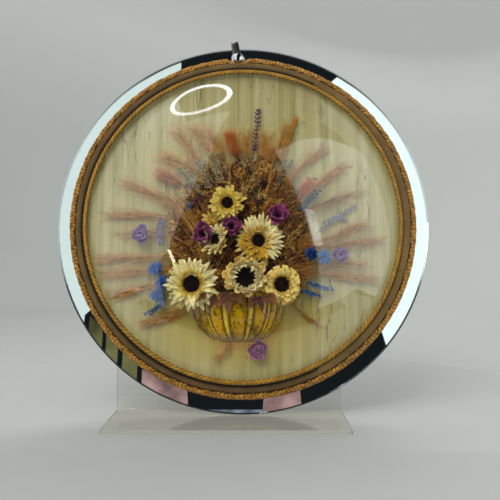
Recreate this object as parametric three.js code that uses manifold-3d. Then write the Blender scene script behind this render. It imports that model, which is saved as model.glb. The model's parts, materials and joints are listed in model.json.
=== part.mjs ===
// A dried-flower picture under a convex glass dome, on a round mirror, leaning on an acrylic easel.
// Millimetres, +Z up. The easel's base runs forward along -Y and its upright stands at y = 0..3.
// Inside the picture a place is (u, v, h): u to the right, v up the mirror, h out of the mirror face.
import * as THREE from 'three';
import Module from 'manifold-3d';
import { mergeVertices } from 'three/addons/utils/BufferGeometryUtils.js';

const wasm = await Module();
wasm.setup();

// ---- driving dimensions ----
const gap = 0.3; // assembly clearance between neighbouring pieces

const mirrorRadius = 150;
const mirrorThickness = 3;
const mirrorBevel = 0.9;
const mirrorBackBevel = 0.3;
const ringSegments = 48;

const easelSheet = 3;
const easelWidth = 180;
const easelDepth = 58;
const easelHeight = 109;
const easelOffset = -11.5; // the picture stands this far to the right of the easel's middle
const easelInnerBend = 2;
const footSetback = 15.5; // from the upright's face to the mirror's lower back edge

const feltThickness = 1;
const feltRadius = mirrorRadius - 22;

const boardRadius = mirrorRadius - 17.5;
const boardThickness = 5;

const glassWall = 2.5;
const glassRadius = boardRadius - 3.9;
const domeFootRadius = glassRadius - 4.6; // where the flat rim turns up into the bubble
const domeRise = 48;

const cordDiameter = 3.8;
const ribbonThickness = 1.5;
const ribbonOuter = boardRadius + 0.4;
const braidWidth = 4.8;

const screwDiameter = 3.6;
const capDiameter = 11;
const capHeight = 4.4;
const washerThickness = 0.5;
const washerDiameter = 9.5;
const screwU = -4.4;
const screwEdgeDistance = 10; // from the screw's middle up to the mirror's edge
const strapWidth = 6;
const strapThickness = 1.2;
const strapReach = 16; // from the screw's middle to the top of the loop
const strapTilt = THREE.MathUtils.degToRad(11.5);

// The bouquet is drawn for a foot circle of 124 mm radius and a rise of 48 mm, and follows both.
const spread = domeFootRadius / 124;
const relief = domeRise / 48;

const bowlRadius = 37 * spread;
const bowlHeight = 37 * spread;
const bowlDepth = 24 * relief;
const bowlWall = 2.6;
const bowlU = -3.4 * spread;
const bowlRimV = -57 * spread;

const foamTopV = 16 * spread;
const foamBottomV = -70 * spread;
const foamLeftU = -26 * spread;
const foamRightU = 20 * spread;
const foamDepth = 11.4 * relief;
const fillerDepth = foamDepth - 1;

// ---- derived levels ----
const boardBack = gap;
const boardFront = boardBack + boardThickness;
const glassBack = boardFront + gap; // also the lowest level that anything glued to the board may use
const glassRimFront = glassBack + glassWall;
const foamFront = glassBack + foamDepth;
const fillerFront = glassBack + fillerDepth;
const bowlFront = glassBack + bowlDepth;
const screwV = Math.sqrt((mirrorRadius - screwEdgeDistance) ** 2 - screwU ** 2);

// ---- materials ----
function material(color, roughness, metalness = 0, opacity = 1) {
  const settings = { color, roughness, metalness };
  if (opacity < 1) {
    settings.transparent = true;
    settings.opacity = opacity;
  }
  return new THREE.MeshStandardMaterial(settings);
}

const acrylic = material(0xdfe6e6, 0.05, 0, 0.35);
const silvered = material(0xc9d3d3, 0.03, 0.9);
const felt = material(0x3b3a38, 0.95);
const creamBoard = material(0xc9c19a, 0.6);
const clearGlass = material(0xe8efec, 0.03, 0, 0.25);
const sealant = material(0xd8d2c0, 0.5);
const brownRibbon = material(0x5e4226, 0.8);
const goldBraid = material(0x8a6230, 0.7);
const goldCord = material(0x9a6f35, 0.6);
const chrome = material(0xd5d8da, 0.08, 1);
const nylon = material(0xeae7dd, 0.5);
const fibre = material(0x8a5a3a, 0.8);
const amberGlass = material(0xb07a1c, 0.08, 0, 0.6);
const floralFoam = material(0x4d4a2c, 0.95);
const heather = material(0x6a4c30, 0.9);
const strawCream = material(0xefe3b8, 0.7);
const strawYellow = material(0xe0b850, 0.7);
const purplePetal = material(0x4a2a58, 0.75);
const lilacPetal = material(0x8a78b0, 0.75);
const magentaPetal = material(0x84307c, 0.7);
const bluePetal = material(0x2d4f86, 0.8);
const redTuft = material(0x8a4526, 0.9);
const pinkTuft = material(0xb8837a, 0.9);
const grassTan = material(0xa9825a, 0.85);
const grassOrange = material(0xb0722e, 0.85);
const plumeBuff = material(0xc2a377, 0.9);
const staticeViolet = material(0x5a4a8c, 0.8);
const darkLeaf = material(0x3e2a30, 0.8);

// ---- geometry helpers ----
function welded(geometry) {
  const bare = geometry.index ? geometry.toNonIndexed() : geometry.clone();
  bare.deleteAttribute('normal');
  bare.deleteAttribute('uv');
  const merged = mergeVertices(bare, 1e-4);
  const index = merged.index.array;
  const kept = [];
  for (let i = 0; i < index.length; i += 3) {
    const [a, b, c] = [index[i], index[i + 1], index[i + 2]];
    if (a !== b && b !== c && c !== a) kept.push(a, b, c);
  }
  merged.setIndex(kept);
  return merged;
}

function solid(geometry) {
  const closed = welded(geometry);
  const mesh = new wasm.Mesh({
    numProp: 3,
    vertProperties: new Float32Array(closed.attributes.position.array),
    triVerts: new Uint32Array(closed.index.array),
  });
  return new wasm.Manifold(mesh);
}

function surface(manifold) {
  const mesh = manifold.getMesh();
  const geometry = new THREE.BufferGeometry();
  geometry.setAttribute('position', new THREE.BufferAttribute(new Float32Array(mesh.vertProperties), 3));
  geometry.setIndex(Array.from(mesh.triVerts));
  geometry.computeVertexNormals();
  return geometry;
}

// Turns [radius, height] points about +Y with the faces outward, whichever way round they are listed.
function turned(points, segments) {
  let doubleArea = 0;
  points.forEach(([r, y], i) => {
    const [nextR, nextY] = points[(i + 1) % points.length];
    doubleArea += r * nextY - nextR * y;
  });
  const ordered = doubleArea < 0 ? [...points].reverse() : points;
  return new THREE.LatheGeometry(ordered.map(([r, y]) => new THREE.Vector2(r, y)), segments);
}

// A ring or disc about the mirror's own axis: the profile's heights are levels above the mirror face.
function discTurned(points, segments = ringSegments) {
  return turned(points, segments).rotateX(Math.PI);
}

function rod(radius, fromLevel, toLevel, segments = 20) {
  return discTurned([[0, fromLevel], [radius, fromLevel], [radius, toLevel], [0, toLevel]], segments);
}

function tube(innerRadius, outerRadius, fromLevel, toLevel, segments = 20) {
  const profile = [
    [innerRadius, fromLevel],
    [outerRadius, fromLevel],
    [outerRadius, toLevel],
    [innerRadius, toLevel],
    [innerRadius, fromLevel],
  ];
  return discTurned(profile, segments);
}

// Extrudes an outline drawn in the (Y, Z) plane along X, centred on x = 0.
function extrudedAlongX(shape, width, curveSegments = 6) {
  const axes = new THREE.Matrix4().makeBasis(
    new THREE.Vector3(0, 1, 0),
    new THREE.Vector3(0, 0, 1),
    new THREE.Vector3(1, 0, 0),
  );
  return new THREE.ExtrudeGeometry(shape, { depth: width, bevelEnabled: false, curveSegments })
    .applyMatrix4(axes)
    .translate(-width / 2, 0, 0);
}

// Points +Y of the geometry along a (u, v, h) direction, then moves its origin to a (u, v, h) place.
function planted(geometry, place, direction) {
  const along = new THREE.Vector3(direction[0], -direction[2], direction[1]).normalize();
  const turn = new THREE.Quaternion().setFromUnitVectors(new THREE.Vector3(0, 1, 0), along);
  return geometry.applyQuaternion(turn).translate(place[0], -place[2], place[1]);
}

const root = new THREE.Group();
const picture = new THREE.Group();
root.add(picture);

function add(parent, name, geometry, look) {
  const mesh = new THREE.Mesh(geometry, look);
  mesh.name = name;
  parent.add(mesh);
}

// ---- acrylic easel ----
function easelOutline() {
  const outerBend = easelInnerBend + easelSheet;
  const back = easelSheet;
  const outline = new THREE.Shape();
  outline.moveTo(-easelDepth, 0);
  outline.lineTo(back - outerBend, 0);
  outline.absarc(back - outerBend, outerBend, outerBend, -Math.PI / 2, 0, false);
  outline.lineTo(back, easelHeight);
  outline.lineTo(0, easelHeight);
  outline.lineTo(0, easelSheet + easelInnerBend);
  outline.absarc(-easelInnerBend, easelSheet + easelInnerBend, easelInnerBend, 0, -Math.PI / 2, true);
  outline.lineTo(-easelDepth, easelSheet);
  outline.closePath();
  return outline;
}
add(root, 'display_stand', extrudedAlongX(easelOutline(), easelWidth).translate(easelOffset, 0, 0), acrylic);

// ---- mirror, felt and board ----
const screwHoleRadius = screwDiameter / 2 + 2 * gap + 0.6; // leaves a 0.6 mm nylon wall between two gaps
const mirrorBlank = discTurned([
  [0, -mirrorThickness],
  [mirrorRadius - mirrorBackBevel, -mirrorThickness],
  [mirrorRadius, -mirrorThickness + mirrorBackBevel],
  [mirrorRadius, -mirrorBevel],
  [mirrorRadius - mirrorBevel, 0],
  [0, 0],
]);
const screwHole = rod(screwHoleRadius, -mirrorThickness - 1, 1).translate(screwU, 0, screwV);
add(picture, 'mirror_plate', surface(solid(mirrorBlank).subtract(solid(screwHole))), silvered);

const feltFront = -mirrorThickness - gap;
const feltBack = feltFront - feltThickness;
add(picture, 'back_felt', rod(feltRadius, feltBack, feltFront, ringSegments), felt);
add(picture, 'backboard', rod(boardRadius, boardBack, boardFront, ringSegments), creamBoard);

// ---- glass dome ----
// Radius of the sphere whose cap spans the foot circle and rises by domeRise.
const bubbleRadius = (domeFootRadius ** 2 + domeRise ** 2) / (2 * domeRise);
const bubbleCentre = glassRimFront + domeRise - bubbleRadius;
const innerBubble = bubbleRadius - glassWall;

function domeProfile() {
  const steps = 8;
  const outerFoot = Math.asin(domeFootRadius / bubbleRadius);
  const innerFoot = Math.acos((glassBack - bubbleCentre) / innerBubble);
  const points = [];
  for (let i = 0; i <= steps; i += 1) {
    const angle = (innerFoot * i) / steps;
    points.push([innerBubble * Math.sin(angle), bubbleCentre + innerBubble * Math.cos(angle)]);
  }
  points[0][0] = 0;
  points.push([glassRadius - 0.4, glassBack], [glassRadius, glassBack + 0.5]);
  points.push([glassRadius, glassRimFront - 0.5], [glassRadius - 0.4, glassRimFront]);
  for (let i = steps; i >= 0; i -= 1) {
    const angle = (outerFoot * i) / steps;
    points.push([bubbleRadius * Math.sin(angle), bubbleCentre + bubbleRadius * Math.cos(angle)]);
  }
  points[points.length - 1][0] = 0;
  return points;
}
add(picture, 'glass_dome', discTurned(domeProfile()), clearGlass);

const sealInner = glassRadius + gap;
add(picture, 'seal_bead', discTurned([
  [sealInner, glassBack],
  [sealInner + 2, glassBack],
  [sealInner + 2.3, glassBack + 0.9],
  [sealInner + 1.4, glassBack + 2],
  [sealInner, glassBack + 2.3],
  [sealInner, glassBack],
]), sealant);

// ---- trims round the dome ----
const cordRadius = cordDiameter / 2;
const footSlope = Math.asin(domeFootRadius / bubbleRadius);
const bisector = (Math.PI - footSlope) / 2;
const cordStandOff = (cordRadius + gap) / Math.sin(bisector);
const cordR = domeFootRadius + cordStandOff * Math.cos(bisector);
const cordH = glassRimFront + cordStandOff * Math.sin(bisector);
const cordProfile = [];
for (let i = 0; i <= 8; i += 1) {
  const angle = (Math.PI * 2 * (i % 8)) / 8;
  cordProfile.push([cordR + cordRadius * Math.cos(angle), cordH + cordRadius * Math.sin(angle)]);
}
add(picture, 'inner_cord', discTurned(cordProfile), goldCord);

const ribbonBack = glassRimFront + gap;
const ribbonFront = ribbonBack + ribbonThickness;
const ribbonInner = cordR + cordRadius + gap;
add(picture, 'rim_ribbon', discTurned([
  [ribbonInner, ribbonBack],
  [ribbonOuter, ribbonBack],
  [ribbonOuter, ribbonFront - 0.8],
  [ribbonOuter - 1.3, ribbonFront - 0.2],
  [(ribbonInner + ribbonOuter) / 2, ribbonFront],
  [ribbonInner + 0.5, ribbonFront - 0.4],
  [ribbonInner, ribbonBack],
]), brownRibbon);

const braidInner = ribbonOuter + gap;
const braidOuter = braidInner + braidWidth;
const braidBlank = discTurned([
  [braidInner, boardBack],
  [braidOuter - 0.6, boardBack],
  [braidOuter, boardBack + 1.7],
  [braidOuter - 0.2, ribbonBack - 2.4],
  [braidOuter - 1.6, ribbonBack - 0.2],
  [braidInner + 1, ribbonBack + 0.5],
  [braidInner, ribbonBack],
  [braidInner, boardBack],
]);
// The braid is squashed inward where the hanger's cap presses on it.
const capClearance = 0.5;
const capPocket = rod(capDiameter / 2 + capClearance, -1, 30, 24).translate(screwU, 0, screwV);
add(picture, 'outer_braid', surface(solid(braidBlank).subtract(solid(capPocket))), goldBraid);

// ---- hanger ----
const frontWasherBack = gap;
const frontLegBack = frontWasherBack + washerThickness + gap;
const frontLegFront = frontLegBack + strapThickness;
const rearWasherFront = -mirrorThickness - gap;
const rearLegFront = rearWasherFront - washerThickness - gap;
const rearLegBack = rearLegFront - strapThickness;
const capBack = frontLegFront + gap;
const screwHeadFront = rearLegBack - gap;
const screwHeadHeight = 1.8;
const boreRadius = screwDiameter / 2 + gap;

function hangerOutline() {
  // Y runs backward, so a level h above the mirror is drawn at y = -h. The screw is at z = 0.
  const front = -frontLegFront;
  const back = -rearLegBack;
  const outerCorner = 2.4;
  const innerCorner = outerCorner - strapThickness;
  const top = strapReach;
  const tail = -4.2;
  const outline = new THREE.Shape();
  outline.moveTo(front, tail);
  outline.lineTo(front + strapThickness, tail);
  outline.lineTo(front + strapThickness, top - outerCorner);
  outline.absarc(front + outerCorner, top - outerCorner, innerCorner, Math.PI, Math.PI / 2, true);
  outline.absarc(back - outerCorner, top - outerCorner, innerCorner, Math.PI / 2, 0, true);
  outline.lineTo(back - strapThickness, tail);
  outline.lineTo(back, tail);
  outline.lineTo(back, top - outerCorner);
  outline.absarc(back - outerCorner, top - outerCorner, outerCorner, 0, Math.PI / 2, false);
  outline.absarc(front + outerCorner, top - outerCorner, outerCorner, Math.PI / 2, Math.PI, false);
  outline.closePath();
  return outline;
}
const strapBore = rod(boreRadius, -30, 30, 16);
const strap = surface(solid(extrudedAlongX(hangerOutline(), strapWidth, 4)).subtract(solid(strapBore)));
add(picture, 'hanger_strap', strap.rotateY(-strapTilt).translate(screwU, 0, screwV), chrome);

function atScrew(geometry) {
  return geometry.translate(screwU, 0, screwV);
}

const screwTip = capBack + capHeight - 1.6;
const screwHeadRadius = 3.5;
add(picture, 'hanger_screw', atScrew(discTurned([
  [0, screwHeadFront - screwHeadHeight],
  [screwHeadRadius - 0.8, screwHeadFront - screwHeadHeight],
  [screwHeadRadius, screwHeadFront - screwHeadHeight + 0.9],
  [screwHeadRadius, screwHeadFront],
  [screwDiameter / 2, screwHeadFront],
  [screwDiameter / 2, screwTip],
  [0, screwTip],
], 20)), chrome);

const capRadius = capDiameter / 2;
add(picture, 'cap_nut', atScrew(discTurned([
  [boreRadius, capBack],
  [capRadius - 0.2, capBack],
  [capRadius, capBack + 0.4],
  [capRadius - 0.4, capBack + 1.1],
  [capRadius - 0.9, capBack + 1.3],
  [capRadius * 0.7, capBack + capHeight * 0.72],
  [capRadius * 0.36, capBack + capHeight * 0.95],
  [0, capBack + capHeight],
  [0, screwTip + gap],
  [boreRadius, screwTip + gap],
  [boreRadius, capBack],
], 24)), chrome);

add(picture, 'screw_bush', atScrew(tube(
  boreRadius,
  screwHoleRadius - gap,
  -mirrorThickness + 0.1,
  -0.1,
)), nylon);
add(picture, 'front_washer', atScrew(tube(
  boreRadius,
  washerDiameter / 2,
  frontWasherBack,
  frontWasherBack + washerThickness,
)), fibre);
add(picture, 'rear_washer', atScrew(tube(
  boreRadius,
  washerDiameter / 2,
  rearWasherFront - washerThickness,
  rearWasherFront,
)), fibre);

// ---- amber half bowl ----
function bowlShell() {
  const bottom = bowlRimV - bowlHeight;
  const outer = [[0, 0], [0.38, 0], [0.65, 0.1], [0.87, 0.36], [0.975, 0.7], [1, 1]];
  const profile = outer.map(([r, y]) => [r * bowlRadius, bottom + y * bowlHeight]);
  const innerRadius = bowlRadius - bowlWall;
  const innerHeight = bowlHeight - bowlWall;
  const inner = [[1, 1], [0.97, 0.7], [0.85, 0.38], [0.62, 0.12], [0.36, 0.02], [0, 0.02]];
  inner.forEach(([r, y]) => profile.push([r * innerRadius, bottom + bowlWall + y * innerHeight]));
  return turned(profile, 28).rotateX(Math.PI / 2).scale(1, bowlDepth / bowlRadius, 1);
}
const frontHalf = new THREE.BoxGeometry(200, 60, 200).translate(0, -30, bowlRimV);
const halfBowl = surface(solid(bowlShell()).intersect(solid(frontHalf)));
add(picture, 'amber_bowl', halfBowl.translate(bowlU, -glassBack, 0), amberGlass);

// ---- foam and heather filler behind the blooms ----
const foamWidth = foamRightU - foamLeftU;
const foamHeight = foamTopV - foamBottomV;
const foamBlock = new THREE.BoxGeometry(foamWidth, foamDepth, foamHeight).translate(
  (foamLeftU + foamRightU) / 2,
  -(glassBack + foamDepth / 2),
  (foamTopV + foamBottomV) / 2,
);
add(picture, 'foam_block', foamBlock, floralFoam);

function fillerOutline() {
  const clearance = 2 * gap;
  const left = foamLeftU - clearance;
  const right = foamRightU + clearance;
  const top = foamTopV + clearance;
  const bottom = -35 * spread;
  const outer = [
    [-50, -35], [-58, -14], [-56, 12], [-43, 31], [-22, 43], [4, 45],
    [30, 43], [43, 31], [51, 12], [53, -12], [47, -35],
  ].map(([u, v]) => [u * spread, v * spread]);
  const inner = [[right, bottom], [right, top], [left, top], [left, bottom]];
  const outline = new THREE.Shape();
  [...outer, ...inner].forEach(([u, v], i) => (i ? outline.lineTo(u, v) : outline.moveTo(u, v)));
  outline.closePath();
  return outline;
}
const filler = new THREE.ExtrudeGeometry(fillerOutline(), {
  depth: fillerDepth,
  bevelEnabled: false,
});
filler.rotateX(Math.PI / 2).translate(0, -glassBack, 0);
add(picture, 'heather_filler', filler, heather);

// ---- blooms ----
// A cup-shaped bloom on a thin wire stem. Radius and height are of the cup, stem is the wire's length.
function bloom(radius, height, stem, segments) {
  const wire = 0.6;
  return turned([
    [0, -stem],
    [wire, -stem],
    [wire, 0],
    [0.25 * radius, 0.04 * height],
    [0.72 * radius, 0.28 * height],
    [radius, 0.72 * height],
    [0.93 * radius, height],
    [0.5 * radius, 0.74 * height],
    [0, 0.66 * height],
  ], segments);
}

// Places and heights that follow the bowl, in the tables' own scale.
const besideBowl = (share) => (bowlU + share * bowlRadius) / spread;
const overBowl = (share) => (share * bowlDepth) / relief;

const strawflowers = [
  // name, u, v, cup's base above what the stem stands on, radius, height, direction, stem's foot, look
  ['strawflower_top', -12.3, 12.8, 6.5, 13, 7, [0, 0, 1], foamFront, strawYellow],
  ['strawflower_side', -17.2, -17.6, 7.5, 7.5, 6.5, [-0.45, 0.25, 1], foamFront, strawCream],
  ['strawflower_behind', -22.4, -2.4, 1.6, 7.2, 4, [-0.05, 0.05, 1], foamFront, strawCream],
  ['strawflower_right', 12.3, -16.6, 4, 15.8, 7.6, [0, 0, 1], foamFront, strawCream],
  ['strawflower_lower_left', besideBowl(-0.94), -49.6, overBowl(0.725), 20.5, 7.6, [0, 0, 1], glassBack, strawCream],
  ['strawflower_lower_mid', 1.6, -45.3, overBowl(0.542), 15.5, 9, [0, 0, 1], foamFront, strawCream],
  ['strawflower_lower_right', besideBowl(0.89), -50, overBowl(0.663), 13.5, 7.5, [0, 0, 1], glassBack, strawYellow],
];
const cups = [
  ['purple_cup_left', -32, -11.6, 3, 6.5, 6, [0, 0, 1], fillerFront, purplePetal],
  ['purple_cup_mid', -8.8, -6, 7, 5.6, 6, [0, 0, 1], foamFront, purplePetal],
  ['purple_cup_right', 28.4, 3, 6, 7, 6.5, [0, 0, 1], fillerFront, purplePetal],
  ['lilac_cup_left', -79.3, -10.8, 4.4, 6, 6, [0, 0, 1], glassBack, lilacPetal],
  ['lilac_cup_right', 76.1, -27, 4.4, 5.6, 6, [0, 0, 1], glassBack, lilacPetal],
  ['magenta_cup_low', 11.7, -101, 2.4, 6.2, 6, [0, 0, 1], glassBack, magentaPetal],
];
const blueFlorets = [
  ['blue_floret_left_top', -68.2, -37.7, 4.9, 4.8, 5, [0, 0, 1], glassBack, bluePetal],
  ['blue_floret_left_mid', -62.1, -48.5, 5.4, 4.6, 5, [0, 0, 1], glassBack, bluePetal],
  ['blue_floret_left_low', -66, -58.8, 4.9, 4.6, 5, [0, 0, 1], glassBack, bluePetal],
  ['blue_floret_right', 63.4, -29, 6.4, 4.8, 5, [0, 0, 1], glassBack, bluePetal],
  ['blue_floret_right_inner', 52.2, -26.6, 2, 4.8, 5, [0, 0, 1], fillerFront, bluePetal],
];

function plantBlooms(list, segments) {
  list.forEach(([name, u, v, above, radius, height, direction, foot, look]) => {
    const base = foot + above * relief;
    const cup = bloom(radius * spread, height * relief, base - foot - gap, segments);
    add(picture, name, planted(cup, [u * spread, v * spread, base], direction), look);
  });
}
plantBlooms(strawflowers, 14);
plantBlooms(cups, 10);
plantBlooms(blueFlorets, 8);

// ---- grasses, plumes and tufts lying over the board ----
// A tapered ear that lies parallel to the board from its stem end to its tip, flattened in depth.
function ear(from, to, width, thickness, level) {
  const length = Math.hypot(to[0] - from[0], to[1] - from[1]);
  const stalk = Math.min(0.7, width / 3);
  const half = width / 2;
  const profile = [
    [0, 0],
    [stalk, 0],
    [stalk, 0.08 * length],
    [0.8 * half, 0.24 * length],
    [half, 0.46 * length],
    [0.72 * half, 0.76 * length],
    [0, length],
  ];
  const spindle = turned(profile, 8).scale(1, 1, thickness / width);
  const heading = Math.atan2(to[0] - from[0], to[1] - from[1]);
  return spindle
    .rotateX(Math.PI / 2)
    .rotateY(heading)
    .translate(from[0], -level, from[1]);
}

const nearBoard = glassBack + 1.8; // middle of the layer that lies against the board
const sprays = [
  // name, stem end, tip, width, thickness, level of the middle, look
  ['grass_ear_left_1', [-62, 19], [-90.7, 30.1], 4, 3, nearBoard, grassTan],
  ['grass_ear_left_2', [-66, 6], [-101.9, 5.6], 5, 3, nearBoard, grassTan],
  ['grass_ear_left_3', [-71, -28.4], [-109.5, -29.7], 5, 3, nearBoard, grassTan],
  ['grass_ear_left_4', [-75, -39.4], [-102.8, -40.6], 5, 3, nearBoard, grassTan],
  ['grass_ear_left_5', [-72, -50.5], [-92.1, -57.3], 8, 3, nearBoard, grassTan],
  ['grass_ear_low_left', [besideBowl(-1.07), -71.5], [-72.1, -78.2], 7, 3, nearBoard, grassOrange],
  ['grass_ear_right_1', [46, 44.5], [62.1, 56.6], 4, 3, nearBoard, grassTan],
  ['grass_ear_right_2', [57, 27.5], [75.5, 40.8], 5, 3, nearBoard, grassTan],
  ['catkin_right', [60, 13.2], [81.5, 21], 5, 3.2, nearBoard, grassTan],
  ['lilac_sprig_right', [60, -8.5], [87.7, 12.1], 5, 3, nearBoard, lilacPetal],
  ['grass_ear_right_3', [67, -14], [90.5, -2.5], 4, 3, nearBoard, grassTan],
  ['grass_ear_right_4', [72, -18.6], [100.5, -15.4], 4, 3, nearBoard, grassTan],
  ['grass_ear_right_5', [64.4, -42.4], [93.4, -44.7], 6, 3, nearBoard, grassTan],
  ['grass_ear_low_right', [besideBowl(1.12), -64], [57.7, -80.5], 3, 2.6, nearBoard, grassOrange],
  ['plume_upper_left', [-37, 48], [-57.9, 80.9], 12, 3.2, nearBoard, plumeBuff],
  ['plume_upper_mid', [-22, 50], [-33, 84], 12, 3.2, nearBoard, plumeBuff],
  ['plume_below_bowl', [-9, -98], [-20.7, -109.5], 8, 3, nearBoard, plumeBuff],
  ['orange_ear', [30, 49.5], [41.2, 81.8], 6, 3.2, nearBoard, grassOrange],
  ['statice_sprig', [8.6, 50.5], [12.1, 91.6], 7, 3.4, nearBoard + 0.2, staticeViolet],
  ['red_tuft_top', [-4, 48], [-12.1, 75], 13, 7, glassBack + 3.8, redTuft],
  ['brown_tuft_top', [19.5, 48.5], [22.6, 64], 9, 6, glassBack + 3.3, redTuft],
  ['pink_tuft_left', [-52, 32.5], [-73, 45.2], 13, 6, glassBack + 3.3, pinkTuft],
  ['pink_tuft_right', [45, 19], [53.5, 31], 11, 5, fillerFront + 3, pinkTuft],
  ['rim_leaves', [-19, -64.6], [19, -65.4], 8, 3, bowlFront + 2.4, darkLeaf],
];
sprays.forEach(([name, from, to, width, thickness, level, look]) => {
  const [start, tip] = [from, to].map(([u, v]) => [u * spread, v * spread]);
  add(picture, name, ear(start, tip, width * spread, thickness, level), look);
});

// ---- lean the picture against the easel ----
// Its lower back edge stands on the base and its felt touches the upright's top front edge.
const contactHeight = easelHeight - easelSheet - gap;
const feltStandOff = mirrorBackBevel + gap + feltThickness + gap; // behind the edge it stands on
const lean = Math.acos(feltStandOff / Math.hypot(footSetback, contactHeight))
  - Math.atan2(contactHeight, footSetback);
const backEdge = new THREE.Vector3(0, mirrorThickness - mirrorBackBevel, -mirrorRadius);
backEdge.applyAxisAngle(new THREE.Vector3(1, 0, 0), -lean);
picture.rotation.x = -lean;
picture.position.set(0, -footSetback - backEdge.y, easelSheet + gap - backEdge.z);

// ---- put the origin under the middle of the whole part ----
root.updateMatrixWorld(true);
const bounds = new THREE.Box3().setFromObject(root, true);
const middle = bounds.getCenter(new THREE.Vector3());
root.position.set(-middle.x, -middle.y, -bounds.min.z);
root.updateMatrixWorld(true);

export default root;
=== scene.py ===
"""The looks of a dried-flower picture under a bubble glass, on a round mirror and an acrylic easel.

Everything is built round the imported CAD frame. A place on the disc is (u, v, h) in millimetres:
u to the right, v up the mirror, h out of the mirror's face. Each mesh ends up in the row frame, and the
materials turn their coordinates back to (u, v, h) in metres.
"""

import json
import math

import bmesh
import bpy
import numpy as np
from mathutils import Matrix, Vector


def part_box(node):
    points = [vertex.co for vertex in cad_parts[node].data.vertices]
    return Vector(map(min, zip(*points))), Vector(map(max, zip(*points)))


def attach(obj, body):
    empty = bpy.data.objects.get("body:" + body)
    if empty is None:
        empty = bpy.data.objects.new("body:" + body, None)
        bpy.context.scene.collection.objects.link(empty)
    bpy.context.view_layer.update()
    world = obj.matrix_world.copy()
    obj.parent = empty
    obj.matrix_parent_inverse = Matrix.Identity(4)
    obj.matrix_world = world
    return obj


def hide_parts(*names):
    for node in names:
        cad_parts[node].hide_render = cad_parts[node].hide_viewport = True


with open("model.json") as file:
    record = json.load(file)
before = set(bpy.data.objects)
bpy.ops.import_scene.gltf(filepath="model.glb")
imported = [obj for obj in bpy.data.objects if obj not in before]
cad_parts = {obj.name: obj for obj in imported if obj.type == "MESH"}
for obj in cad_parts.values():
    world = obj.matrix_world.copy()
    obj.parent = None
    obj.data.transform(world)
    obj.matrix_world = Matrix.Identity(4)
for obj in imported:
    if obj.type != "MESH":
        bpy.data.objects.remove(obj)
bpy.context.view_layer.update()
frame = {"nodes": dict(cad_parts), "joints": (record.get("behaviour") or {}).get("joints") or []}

MM = 0.001
TAU = math.tau
rng = np.random.default_rng(20)

# ---------------------------------------------------------------- the disc's own axes, from the frame
swivel = next(j for j in frame["joints"] if j["name"] == "hanger_swivel")
normal = Vector(swivel["axis"]).normalized()
right = Vector((1, 0, 0))
up = normal.cross(right)


def span(node, direction):
    """Lowest and highest reach of a CAD node along a direction, in metres."""
    reach = [v.co.dot(direction) for v in frame["nodes"][node].data.vertices]
    return min(reach), max(reach)


mirror_u = span("mirror_plate", right)
mirror_v = span("mirror_plate", up)
mirror_h = span("mirror_plate", normal)
disc_centre = right * sum(mirror_u) / 2 + up * sum(mirror_v) / 2 + normal * mirror_h[1]
disc = Matrix.Translation(disc_centre) @ Matrix((right, up, normal)).transposed().to_4x4()
to_disc = disc.inverted()

# ---------------------------------------------------------------- sizes, in millimetres, as in the part
MIRROR_RADIUS = (mirror_u[1] - mirror_u[0]) / 2 / MM
MIRROR_THICKNESS = (mirror_h[1] - mirror_h[0]) / MM
PLANT_FLOOR = 5.6
BOARD_RADIUS = 132.5
GLASS_RADIUS = 128.6
GLASS_WALL = 2.5
GLASS_RIM_FRONT = 8.1
DOME_FOOT = 124
DOME_RISE = 48
BUBBLE_RADIUS = (DOME_FOOT**2 + DOME_RISE**2) / (2 * DOME_RISE)
BUBBLE_CENTRE = GLASS_RIM_FRONT + DOME_RISE - BUBBLE_RADIUS
INNER_BUBBLE = BUBBLE_RADIUS - GLASS_WALL
SCREW = (-4.4, 139.93)  # where the hanger's screw goes through the mirror
CAP_RADIUS = 5.5


# ---------------------------------------------------------------- colours
def srgb(red, green, blue):
    """A linear colour from display values of 0 to 255."""
    values = np.array([red, green, blue], float) / 255
    linear = np.where(values <= 0.04045, values / 12.92, ((values + 0.055) / 1.055) ** 2.4)
    return tuple(float(x) for x in linear)


# ---------------------------------------------------------------- meshes
class Sketch:
    """Vertices in millimetres with a colour each, and faces, gathered until they become one piece."""

    def __init__(self):
        self.points = []
        self.colours = []
        self.faces = []
        self.count = 0

    def add(self, points, faces, colours=(1, 1, 1)):
        points = np.asarray(points, float).reshape(-1, 3)
        colours = np.broadcast_to(np.asarray(colours, float), (len(points), 3))
        self.points.append(points)
        self.colours.append(colours)
        for group in faces:
            self.faces.append(np.asarray(group, int) + self.count)
        self.count += len(points)

    def add_many(self, points, faces, colours):
        """The same faces for each of many little shapes: points are (shapes, corners, 3)."""
        shapes, corners = points.shape[:2]
        starts = np.arange(shapes)[:, None, None] * corners
        groups = [(np.asarray(g, int)[None] + starts).reshape(-1, len(g[0])) for g in faces]
        colours = np.broadcast_to(colours, points.shape)
        self.add(points.reshape(-1, 3), groups, colours.reshape(-1, 3))

    def mesh(self, name):
        mesh = bpy.data.meshes.new(name)
        points = np.concatenate(self.points)
        faces = [face for group in self.faces for face in group.tolist()]
        mesh.from_pydata((points * MM).tolist(), [], faces)
        tint = mesh.attributes.new("tint", "FLOAT_COLOR", "POINT")
        rgba = np.ones((len(points), 4), np.float32)
        rgba[:, :3] = np.concatenate(self.colours)
        tint.data.foreach_set("color", rgba.ravel())
        return mesh


def tidy_mesh(mesh, weld=0.0):
    """Welds points that meet and turns every face outward."""
    work = bmesh.new()
    work.from_mesh(mesh)
    if weld:
        bmesh.ops.remove_doubles(work, verts=work.verts, dist=weld * MM)
        bmesh.ops.dissolve_degenerate(work, dist=weld * MM, edges=work.edges)
    bmesh.ops.recalc_face_normals(work, faces=work.faces)
    work.to_mesh(mesh)
    work.free()


def add_object(name, data):
    made = bpy.data.objects.new(name, data)
    bpy.context.scene.collection.objects.link(made)
    return made


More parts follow.
